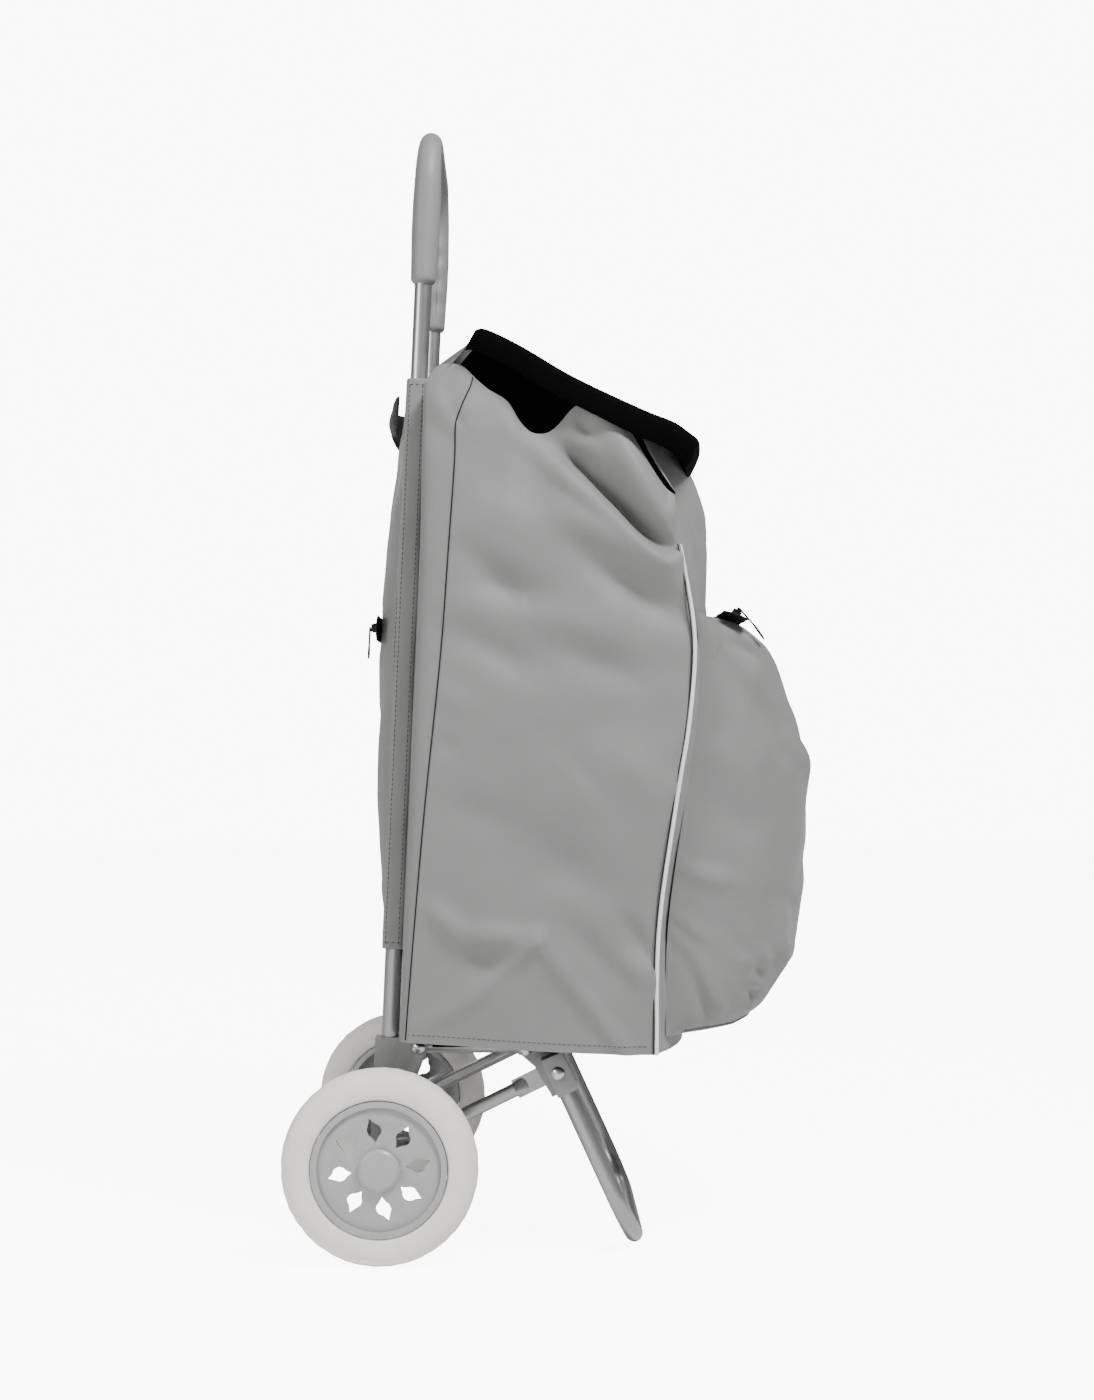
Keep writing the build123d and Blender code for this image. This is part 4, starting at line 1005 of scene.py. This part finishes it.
for way, label in ((-1, "left"), (1, "right")):
    sleeve = cloth(28, 120, sleeve_place(way * UPRIGHT_X))
    tidy_mesh(sleeve, 0.0002)
    rumple(sleeve, 26, 0.7, 11 + way)
    thicken(sleeve, 0.0011)
    dress(sleeve, f"{label}_sleeve_cloth", "frame", bag_cloth, [f"{label}_upright_sleeve"])
    outer = Vector((way, 0, 0))
    skin = surface_of(sleeve)
    rows = []
    for ahead in (4.2, -7.0):
        guide = [on_upright(way * (UPRIGHT_X + SLEEVE_FLAT), ahead, SLEEVE_LOW + 4 + 481 * step / 24)
                 for step in range(25)]
        rows.append(stitches(laid_on(skin, guide, 0.1, 60, outer), outer, thick=0.4))
    for along in (SLEEVE_LOW + 6, SLEEVE_HIGH - 5):
        guide = [on_upright(way * (UPRIGHT_X + SLEEVE_FLAT), ahead, along) for ahead in (-8, -3, 2, 7)]
        rows.append(stitches(laid_on(skin, guide, 0.1, 12, outer), outer, thick=0.4))
    dress(join(rows, "sleeve_rows"), f"{label}_sleeve_stitches", "frame", thread_grey)
    guide = [on_upright(way * (UPRIGHT_X + SLEEVE_FLAT + 1.5), 8.6, SLEEVE_LOW + 1 + 488 * step / 24)
             for step in range(25)]
    edge = strand(guide, 0.7, sides=8, steps=90)
    dress(edge, f"{label}_sleeve_edge", "frame", bag_cloth)
    # The thin black strand beside the pale edge is painted shade: it stands in for the dark gap between
    # sleeve and bag.
    guide = [point + Vector((way * 0.8 * MM, -1.3 * MM, 0)) for point in guide]
    seam_and_gap_shade = strand(guide, 0.5, sides=6, steps=90)
    dress(seam_and_gap_shade, f"{label}_sleeve_gap_shade_strand", "frame", black_thread_and_gap_shade)
print("sleeves done")

# %% [markdown]
# ## The front pocket
# The pocket is a deep bellows sewn to the front panel. Seen from the side it has a flat top with a
# zip, a round belly and a folded gusset at its foot. One grid is drawn over a profile: near the side
# seams the profile shrinks back onto the panel, so the pocket closes by itself.

# %% Pocket outline
POCKET_HALF = 140.0
POCKET_TOP = 461.5
POCKET_FOOT = 103.5
POCKET_SQUARENESS = 2.7
POCKET_PROFILE = [(272.0, POCKET_TOP), (292.0, 458.5), (308.4, 454.5), (321.8, 447.5), (337.8, 431.5),
                  (349.8, 406.5), (361.8, 370.5), (370.0, 335.5), (374.3, 299.5), (374.6, 268.0),
                  (372.3, 238.5), (367.0, 203.5), (359.8, 172.5), (348.8, 145.5), (330.8, 122.5),
                  (308.0, 108.5), (292.3, 105.0), (262.0, 103.8), (240.0, POCKET_FOOT)]


def panel_f(x, r):
    """How far forward the front panel lies at a place, from its seams and its bulge."""
    rise = 1 - min(1.0, abs(x) / SHELL_X) ** FRONT_ROUNDNESS
    low, high = 0.0, 1.0
    for _ in range(14):
        middle_share = (low + high) / 2
        if front_edge(middle_share).y < r:
            low = middle_share
        else:
            high = middle_share
    return front_edge(low).x + front_bulge(front_edge(low).x) * rise


def pocket_place(u, v):
    """u runs across between the side seams; v runs from the top seam over the belly to the foot."""
    side = 2 * u - 1
    side = math.copysign(1 - (1 - abs(side)) ** 1.35, side)
    depth = (1 - abs(side) ** POCKET_SQUARENESS) ** (1 / POCKET_SQUARENESS)
    x = side * (POCKET_HALF + 14.0 * math.exp(-v / 0.07))
    outline = smooth_line(POCKET_PROFILE, v)
    base_r = POCKET_TOP - (POCKET_TOP - POCKET_FOOT) * v
    base_r += (outline.y - base_r) * min(1.0, depth * 1.2) ** 0.9
    base = panel_f(x, base_r) + 1.5
    crown = 1 - 0.035 * side ** 2 * math.sin(math.pi * v)
    return at(x, base + (outline.x - base) * depth * crown, base_r)


pocket = cloth(84, 104, pocket_place)
tidy_mesh(pocket)
print("pocket", len(pocket.data.vertices), "points")

# %% Pocket creases
POCKET_GAIN = 2.8
POCKET_STROKES = [
    stroke((-126, 282, 424), (-104, 338, 345), 13, -6.5, 0.7),
    stroke((-130, 270, 440), (-108, 322, 392), 8, 4.0),
    stroke((-126, 290, 440), (-114, 316, 424), 6, -3.5), stroke((-120, 306, 446), (-112, 330, 424), 7, 3.0),
    stroke((-108, 330, 360), (-60, 366, 320), 12, 4.5), stroke((-80, 344, 322), (-40, 372, 318), 8, -2.8),
    stroke((-132, 270, 360), (-126, 300, 325), 12, 2.4), stroke((-126, 280, 300), (-108, 330, 270), 18, -2.5),
    stroke((-136, 262, 240), (-126, 300, 232), 9, 3.0), stroke((-128, 284, 232), (-112, 322, 236), 5, -3.2),
    stroke((-126, 290, 214), (-112, 326, 168), 7, 4.2), stroke((-124, 300, 206), (-114, 322, 178), 5, -4.2),
    stroke((-136, 252, 200), (-108, 316, 150), 7, 4.0, 0.5),
    stroke((-134, 262, 186), (-106, 322, 132), 5, -3.6, 0.5),
    stroke((-112, 330, 220), (-60, 364, 200), 10, -2.6), stroke((-108, 334, 190), (-80, 350, 150), 9, 3.0),
    stroke((-126, 300, 170), (-118, 316, 160), 4, 2.5), stroke((-120, 312, 160), (-108, 330, 150), 4, -2.5),
    stroke((-136, 256, 176), (-130, 276, 116), 5, -2.6), stroke((-134, 264, 172), (-126, 290, 118), 6, 2.4),
    stroke((-60, 360, 250), (20, 374, 240), 16, -3.0), stroke((40, 374, 300), (90, 360, 230), 18, -3.0),
    stroke((-30, 360, 160), (50, 360, 170), 14, 3.0), stroke((0, 372, 350), (60, 366, 380), 16, 2.6),
]


def both_ways(strokes):
    """The strokes of one side and, a little lower and softer, their twins on the other side."""
    both = []
    for a, b, width, height, taper in strokes:
        gain = POCKET_GAIN if abs(a[0]) > 85 else 1.2
        both.append((at(*a), at(*b), width, height * gain, taper))
        start, end = at(-a[0], a[1], a[2] - 7), at(-b[0], b[1], b[2] - 7)
        both.append((start, end, width * 1.15, height * gain * 0.85, taper))
    return both


def off_seams(point):
    return abs(point.x) < (POCKET_HALF - 0.5) * MM


crease(pocket, both_ways(POCKET_STROKES), off_seams)


def free_pocket(point):
    from_seam = (POCKET_HALF * MM - abs(point.x)) / (10 * MM)
    return max(0.0, min(1.0, from_seam))


rumple(pocket, 60, 3.6, 21, free_pocket)
rumple(pocket, 24, 1.5, 22, free_pocket)
apply_modifier(pocket, "SUBSURF", levels=1, render_levels=1)
thicken(pocket, 0.0012, rounded=False)
dress(pocket, "front_pocket_bellows", "frame", bag_cloth, ["front_pocket"])
folds_flat(pocket)
pocket_skin = surface_of(pocket)

# %% Pocket seams
TOP_ROW = [(129, 262, 458), (120, 282, 452), (90, 300, 450), (40, 306, 452), (0, 308, 453)]
FOOT_ROW = [(130, 246, 108), (122, 268, 106), (100, 300, 108), (60, 318, 112), (0, 326, 114)]
rows = []
for way in (-1, 1):
    top_row = [at(way * x, f, r) for x, f, r in TOP_ROW]
    rows.append(stitches(laid_on(pocket_skin, top_row, 0.1, 40), Vector((0, 0, 1)), thick=0.4))
folds_flat(dress(join(rows, "pocket_rows"), "front_pocket_stitches", "frame", thread_grey))
for way, label in ((-1, "left"), (1, "right")):
    foot = [at(way * x, f, r) for x, f, r in FOOT_ROW]
    seam_and_gap_shade = strand(laid_on(pocket_skin, foot, 0.6, 24), 1.1, sides=8, steps=60)
    folds_flat(dress(seam_and_gap_shade, f"{label}_pocket_foot_seam", "frame", bag_cloth))

# %% [markdown]
# ## Zips
# A zip is a woven tape with a row of teeth, a slider and a pull with a ring. One tooth is modelled,
# bevelled, and repeated by an array along the tape. The sliders and the back pull keep the design's own
# shapes and only take a dark metal. The front pull is a copy that bends down onto the cloth.


# %% Zip tape and teeth
def zip_chain(name, node, body, lift):
    """A tape on the design's own tape, with teeth along X; gives its middle and its cross direction."""
    low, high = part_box(node)
    centre = (low + high) / 2
    length = high.x - low.x
    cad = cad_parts[node]
    normal = max((face.normal.copy() for face in cad.data.polygons), key=lambda n: n.dot(lift))
    across = normal.cross(Vector((1, 0, 0))).normalized()
    bpy.ops.object.select_all(action="DESELECT")
    bpy.ops.mesh.primitive_grid_add(x_subdivisions=60, y_subdivisions=8, size=1)
    tape = bpy.context.active_object
    half_wide = 11.0 * MM
    for vertex in tape.data.vertices:
        along, side = vertex.co.x, vertex.co.y * 2
        wave = 0.35 * MM * math.sin(along * 40) * abs(side)
        vertex.co = (centre + Vector((along * length, 0, 0)) + across * side * half_wide
                     + normal * (0.2 * MM - 0.9 * MM * side ** 2 + wave))
    tidy_mesh(tape)
    apply_modifier(tape, "SOLIDIFY", thickness=0.0008, offset=0.0)
    smooth_shade(tape)
    dress(tape, f"{name}_tape", body, tape_cloth, [node])
    pitch = 2.0 * MM
    bpy.ops.object.select_all(action="DESELECT")
    bpy.ops.mesh.primitive_cube_add(size=1)
    tooth = bpy.context.active_object
    bpy.ops.object.mode_set(mode="EDIT")
    bpy.ops.transform.resize(value=(1.25 * MM, 4.6 * MM, 1.4 * MM))
    bpy.ops.mesh.bevel(offset=0.3 * MM, segments=1)
    bpy.ops.object.mode_set(mode="OBJECT")
    count = int(length / pitch) - 3
    start = centre - Vector((count * pitch / 2, 0, 0)) + normal * 1.0 * MM
    turn_to = Matrix((Vector((1, 0, 0)), across, normal)).transposed()
    for vertex in tooth.data.vertices:
        vertex.co = start + turn_to @ vertex.co
    apply_modifier(tooth, "ARRAY", fit_type="FIXED_COUNT", count=count, use_relative_offset=False,
                   use_constant_offset=True, constant_offset_displace=(pitch, 0, 0))
    dress(tooth, f"{name}_teeth", body, dark_metal)
    return centre, across


BEHIND = Vector((0, 1, 0))
zip_chain("front_zip", "front_zip_tape", "front_zip", Vector((0, 0, 1)))
back_centre, back_across = zip_chain("back_zip", "back_zip_tape", "frame", BEHIND)

# %% The front pull bends down onto the cloth
pull_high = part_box("front_zip_pull")[1]
pull = new_object("pull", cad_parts["front_zip_pull"].data.copy())
tidy_mesh(pull)
bend_y = pull_high.y - 3 * MM
for vertex in pull.data.vertices:
    beyond = max(0.0, bend_y - vertex.co.y)
    vertex.co.z -= 0.55 * beyond + 8.0 * beyond ** 2
    vertex.co.y += 0.14 * beyond
smooth_shade(pull, math.radians(40))
dress(pull, "front_zip_tab", "front_pull", dark_metal, ["front_zip_pull"])

# %% [markdown]
# ## The flat pocket at the back
# Between the sleeves sits a flat pocket, sewn along three sides, a little puffed. It has its own zip
# and, above it, a folded loop of webbing to lift the trolley by.

# %% Back pocket
BACK_HALF = 88.0
BACK_LOW = 165.0
BACK_HIGH = 659.0
BACK_SQUARENESS = 3.2
BACK_LAID = 8.5
BACK_DEPTH = [(0.0, 2.0), (0.04, 12.0), (0.12, 18.0), (0.3, 25.5), (0.5, 27.8), (0.58, 28.0), (0.75, 25.0),
              (0.9, 19.5), (0.97, 15.0), (1.0, 4.0)]


def back_depth(v):
    for (low, deep), (high, deeper) in zip(BACK_DEPTH, BACK_DEPTH[1:]):
        if v <= high:
            share = (v - low) / (high - low)
            share = share * share * (3 - 2 * share)
            return deep + (deeper - deep) * share
    return BACK_DEPTH[-1][1]


def back_pocket_place(u, v):
    side = 2 * u - 1
    shape = (1 - abs(side) ** BACK_SQUARENESS) ** (1 / BACK_SQUARENESS)
    ahead = BACK_LAID - (BACK_LAID + back_depth(v)) * shape
    return on_upright(-side * BACK_HALF, ahead, BACK_LOW + v * (BACK_HIGH - BACK_LOW))


back_pocket = cloth(56, 104, back_pocket_place)
tidy_mesh(back_pocket)


def free_back(point):
    from_seam = (BACK_HALF * MM - abs(point.x)) / (12 * MM)
    zip_gap = abs((point - back_centre).dot(back_across)) / (16 * MM) - 0.6
    return max(0.0, min(1.0, from_seam, zip_gap))


rumple(back_pocket, 60, 2.2, 31, free_back)
rumple(back_pocket, 24, 0.8, 32, free_back)
crease(back_pocket, [(on_upright(-60, -26, 400), on_upright(50, -27, 300), 16, -2.6, 1.0),
                     (on_upright(-50, -26, 260), on_upright(60, -26, 220), 14, 2.4, 1.0),
                     (on_upright(60, -24, 560), on_upright(-20, -26, 500), 15, -2.2, 1.0),
                     (on_upright(-70, -20, 620), on_upright(-40, -24, 540), 10, -2.0, 1.0)])
apply_modifier(back_pocket, "SUBSURF", levels=1, render_levels=1)
thicken(back_pocket, 0.0012, rounded=False)
dress(back_pocket, "back_pocket_cloth", "frame", bag_cloth, ["back_pocket"])
back_skin = surface_of(back_pocket)
rows = []
for side in (-1, 1):
    guide = [on_upright(side * (BACK_HALF - 5), -16, BACK_LOW + 8 + 478 * step / 20) for step in range(21)]
    rows.append(stitches(laid_on(back_skin, guide, 0.1, 60, BEHIND), BEHIND))
for along in (BACK_LOW + 9, BACK_HIGH - 8):
    guide = [on_upright(x, -20, along) for x in (-82, -40, 0, 40, 82)]
    rows.append(stitches(laid_on(back_skin, guide, 0.1, 30, BEHIND), BEHIND))
dress(join(rows, "back_rows"), "back_pocket_stitches", "frame", thread_grey)

# %% Webbing handle
STRAP_HALF = 62.0
STRAP_RISE = 640.0
STRAP_WIDE = 36.0
BOX_STITCH = [((62, -15), (52, -15)), ((62, 15), (52, 15)), ((60, -15), (60, 15)),
              ((52, -15), (52, 15)), ((60, -15), (52, 15)), ((60, 15), (52, -15))]


def strap_place(u, v):
    """A folded webbing loop, bowed away from the cloth and pinched a little in the middle."""
    side = 2 * u - 1
    bow = 1 - abs(side) ** 2.2
    pinch = 1 - 0.28 * (1 - side ** 2) ** 2
    fold = 1.6 * math.cos(math.pi * (2 * v - 1)) * (1 - side ** 2)
    ahead = -21.5 - 9.0 * bow - fold + 1.0
    return on_upright(side * STRAP_HALF, ahead, STRAP_RISE + (v - 0.5) * STRAP_WIDE * pinch)


strap = cloth(56, 12, strap_place)
tidy_mesh(strap)
thicken(strap, 0.0022, angle=50)
dress(strap, "grab_loop", "frame", webbing_cloth, ["grab_handle"])
strap_skin = surface_of(strap)
rows = []
for side in (-1, 1):
    for (a, c), (b, d) in BOX_STITCH:
        guide = [on_upright(side * (a + (b - a) * 0.5 * k), -24, STRAP_RISE + c + (d - c) * 0.5 * k)
                 for k in range(3)]
        rows.append(stitches(laid_on(strap_skin, guide, 0.1, 12, BEHIND), BEHIND, pitch=3.4, length=2.4))
dress(join(rows, "strap_rows"), "grab_loop_stitches", "frame", thread_grey)
print("back done")

# %% [markdown]
# ## The grip
# A soft moulded sleeve covers the bent top of the handle. It is thickest along the straights, thinner
# over the bends, and its lower ends are rounded. On the inner side there are shallow finger hollows.
# It is a ring carried along the handle's line, with a radius that changes as it goes.

# %% Grip along the handle's line
HANDLE_TOP = (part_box("handle_grip")[1].z - AXLE.z) / MM - 11.5
GRIP_DROP = 142.0
GRIP_END_R = 11.3
FINGER_HOLLOWS = (26.0, 48.0, 70.0)
BEND = 42.0
LINE_TOP = HANDLE_TOP / math.cos(LEAN)
LINE_LOW = LINE_TOP + 11.5 - GRIP_DROP


def grip_line(distance):
    """A point on the handle's line, its inward direction and its run, from the left end."""
    straight = LINE_TOP - BEND - LINE_LOW
    quarter = BEND * math.pi / 2
    flat = 2 * (UPRIGHT_X - BEND)
    if distance < straight:
        return (-UPRIGHT_X, LINE_LOW + distance), (1.0, 0.0)
    if distance < straight + quarter:
        angle = (distance - straight) / BEND
        centre = (-UPRIGHT_X + BEND, LINE_TOP - BEND)
        return ((centre[0] - BEND * math.cos(angle), centre[1] + BEND * math.sin(angle)),
                (math.cos(angle), -math.sin(angle)))
    if distance < straight + quarter + flat:
        return (-UPRIGHT_X + BEND + distance - straight - quarter, LINE_TOP), (0.0, -1.0)
    (x, along), (inward_x, inward_s) = grip_line(2 * (straight + quarter) + flat - distance)
    return (-x, along), (-inward_x, inward_s)


GRIP_LENGTH = 2 * (LINE_TOP - BEND - LINE_LOW) + BEND * math.pi + 2 * (UPRIGHT_X - BEND)


def grip_radius(distance, angle):
    """The radius at a place along the grip; angle 0 looks inward."""
    from_end = min(distance, GRIP_LENGTH - distance)
    radius = GRIP_END_R + 1.2 * min(1.0, from_end / 45.0)
    bend_start = LINE_TOP - BEND - LINE_LOW
    if from_end > bend_start - 20:
        radius -= 1.9 * min(1.0, (from_end - bend_start + 20) / 60.0)
    if from_end < 5.0:
        radius -= 5.0 - math.sqrt(max(0.0, 25.0 - (5.0 - from_end) ** 2))
    inward = max(0.0, math.cos(angle))
    hollow = 0.0
    for place in FINGER_HOLLOWS:
        if abs(from_end - place) < 11.0:
            hollow = 1.5 * math.cos(math.pi * (from_end - place) / 22.0) ** 2
    ridge = 0.35 * math.cos(2 * angle)
    return radius - hollow * inward ** 3 + ridge


def grip_place(u, v):
    """v runs along the grip; its first and last rows turn in to the tube and close the ends."""
    share = (v - 0.014) / 0.972
    distance = max(0.0, min(1.0, share)) * GRIP_LENGTH
    (x, along), (inward_x, inward_s) = grip_line(distance)
    angle = 2 * math.pi * u
    radius = grip_radius(distance, angle)
    past_end = max(0.0, -share, share - 1.0) / 0.0144
    radius += (TUBE_R + 0.1 - radius) * min(1.0, past_end)
    inward = radius * math.cos(angle)
    ahead = radius * math.sin(angle)
    return on_upright(x + inward * inward_x, ahead, along + inward * inward_s)


grip = cloth(28, 280, grip_place)
tidy_mesh(grip)
smooth_shade(grip, math.radians(45))
dress(grip, "handle_sleeve_grip", "frame", grip_rubber, ["handle_grip"])
grip_skin = surface_of(grip)
grooves = []
for way in (-1, 1):
    for step in (-2.6, 2.6):
        line = [on_upright(way * (UPRIGHT_X - 12.3), step, LINE_LOW + 16 + 66 * k / 8) for k in range(9)]
        grooves.append(strand(laid_on(grip_skin, line, -0.15, 20), 0.7, sides=8, steps=40, flat=0.6))
dress(join(grooves, "grip_lines"), "handle_grip_ribs", "frame", grip_rubber)
print("grip done")

# %% [markdown]
# ## Tyres
# The tyres are cream foam rubber with a shallow wavy tread. The section is a closed loop. It is set
# beside the axle and spun once around it, as a ring is turned on a lathe. The spin's last ring meets
# its first, so doubles are merged, and a slight unevenness is pressed in, as foam always has.

# %% One tyre
TYRE_MIDDLE = (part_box("right_tyre")[0].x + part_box("right_tyre")[1].x) / 2 / MM
HUB_R = (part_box("left_wheel_hub")[1].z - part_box("left_wheel_hub")[0].z) / 2 / MM
HALF_SECTION = [(0.1, 14.0), (2.4, 16.2), (8.0, 17.0), (13.0, 17.0), (18.0, 16.0), (22.2, 13.6),
                (24.9, 9.0), (25.9, 3.5)]
TYRE_SECTION = [(rise, -across) for rise, across in HALF_SECTION] + HALF_SECTION[::-1]
TYRE_SECTION += [(0.1, 5.0), (0.1, -5.0)]


def tyre(way, label):
    """A tyre spun around the axle from its section, then roughened."""
    bpy.ops.object.select_all(action="DESELECT")
    bpy.ops.mesh.primitive_circle_add(vertices=len(TYRE_SECTION), radius=0.01)
    ring = bpy.context.active_object
    for vertex, (rise, across) in zip(ring.data.vertices, TYRE_SECTION):
        vertex.co = Vector((way * (TYRE_MIDDLE + across) * MM, AXLE.y, AXLE.z + (HUB_R + rise) * MM))
    bpy.ops.object.mode_set(mode="EDIT")
    bpy.ops.mesh.select_all(action="SELECT")
    bpy.ops.mesh.spin(steps=144, angle=2 * math.pi, center=AXLE, axis=(1, 0, 0))
    bpy.ops.object.mode_set(mode="OBJECT")
    tidy_mesh(ring, 0.00005)
    normals = [vertex.normal.copy() for vertex in ring.data.vertices]
    for vertex, normal in zip(ring.data.vertices, normals):
        off = vertex.co - AXLE
        out = math.hypot(off.y, off.z) / MM - HUB_R
        angle = math.atan2(off.z, off.y)
        across = off.x / MM - way * TYRE_MIDDLE
        tread = max(0.0, min(1.0, (out - 14.0) / 6.0))
        wave = math.sin(40 * angle + 0.30 * across) * math.cos(0.28 * across)
        lump = noise.noise(vertex.co / (9 * MM))
        vertex.co += normal * MM * (0.5 * tread * wave + 0.6 * lump * min(1.0, out / 4.0) - 0.4 * tread)
    apply_modifier(ring, "SUBSURF", levels=1, render_levels=1)
    for vertex in ring.data.vertices:
        vertex.co.z = max(vertex.co.z, 0.0001)
    smooth_shade(ring, math.radians(60))
    dress(ring, f"{label}_foam_tyre", f"{label}_wheel", tyre_foam, [f"{label}_tyre"])


tyre(-1, "left")
tyre(1, "right")

# %% [markdown]
# ## Softened edges
# Moulded and pressed parts never have knife edges. The hubs, caps and brackets keep the design's
# shape: a copy of each is merged, its flat faces are dissolved into whole ones, and its sharp edges
# get a small bevel that catches the light.


# %% A copy with softened edges
def softened(node, name, body, material, width):
    """A merged copy of a design part with its sharp edges bevelled."""
    sharp = math.radians(35)
    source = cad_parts[node]
    copy = new_object(name, source.data.copy())
    only(copy)
    bpy.ops.object.mode_set(mode="EDIT")
    bpy.ops.mesh.select_all(action="SELECT")
    bpy.ops.mesh.remove_doubles(threshold=0.00002)
    bpy.ops.mesh.dissolve_limited(angle_limit=math.radians(1.0))
    bpy.ops.mesh.normals_make_consistent(inside=False)
    bpy.ops.object.mode_set(mode="OBJECT")
    apply_modifier(copy, "BEVEL", width=width * MM, segments=2, limit_method="ANGLE",
                   angle_limit=sharp, use_clamp_overlap=True)
    smooth_shade(copy, sharp)
    return dress(copy, name, body, material, [node])


for label in ("left", "right"):
    wheel = f"{label}_wheel"
    softened(f"{label}_wheel_hub", f"{label}_moulded_hub", wheel, hub_plastic, 0.6)
    softened(f"{label}_hub_cap", f"{label}_moulded_cap", wheel, hub_plastic, 0.5)
    softened(f"{label}_corner_bracket", f"{label}_moulded_corner", "frame",
             bracket_plastic, 0.8)
    softened(f"{label}_leg_bracket", f"{label}_moulded_knuckle", "leg",
             bracket_plastic, 0.8)

# %% [markdown]
# ## Metal and hidden parts
# Tubes, bolts, nuts and the axle are right as designed. They only take their finish.

# %% Finishes on the design's own parts
OWN_PARTS = {
    silver_tube: ["handle_frame", "platform_frame", "platform_cross_rods", "foot_frame",
                  "left_strut", "right_strut"],
    zinc: ["axle", "axle_push_nuts", "bracket_screws", "platform_pivot_bolts", "platform_pivot_nuts",
           "leg_pivot_bolts", "leg_pivot_nuts", "strut_bolts", "strut_nuts"],
    bracket_plastic: ["wheel_spacers"],
    dark_metal: ["front_zip_slider", "back_zip_slider", "back_zip_pull"],
    board_fibre: ["bag_base_board"],
}
for material, names in OWN_PARTS.items():
    for name in names:
        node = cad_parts[name]
        node.data.materials.clear()
        node.data.materials.append(material)
print("own parts finished:", sum(len(names) for names in OWN_PARTS.values()))
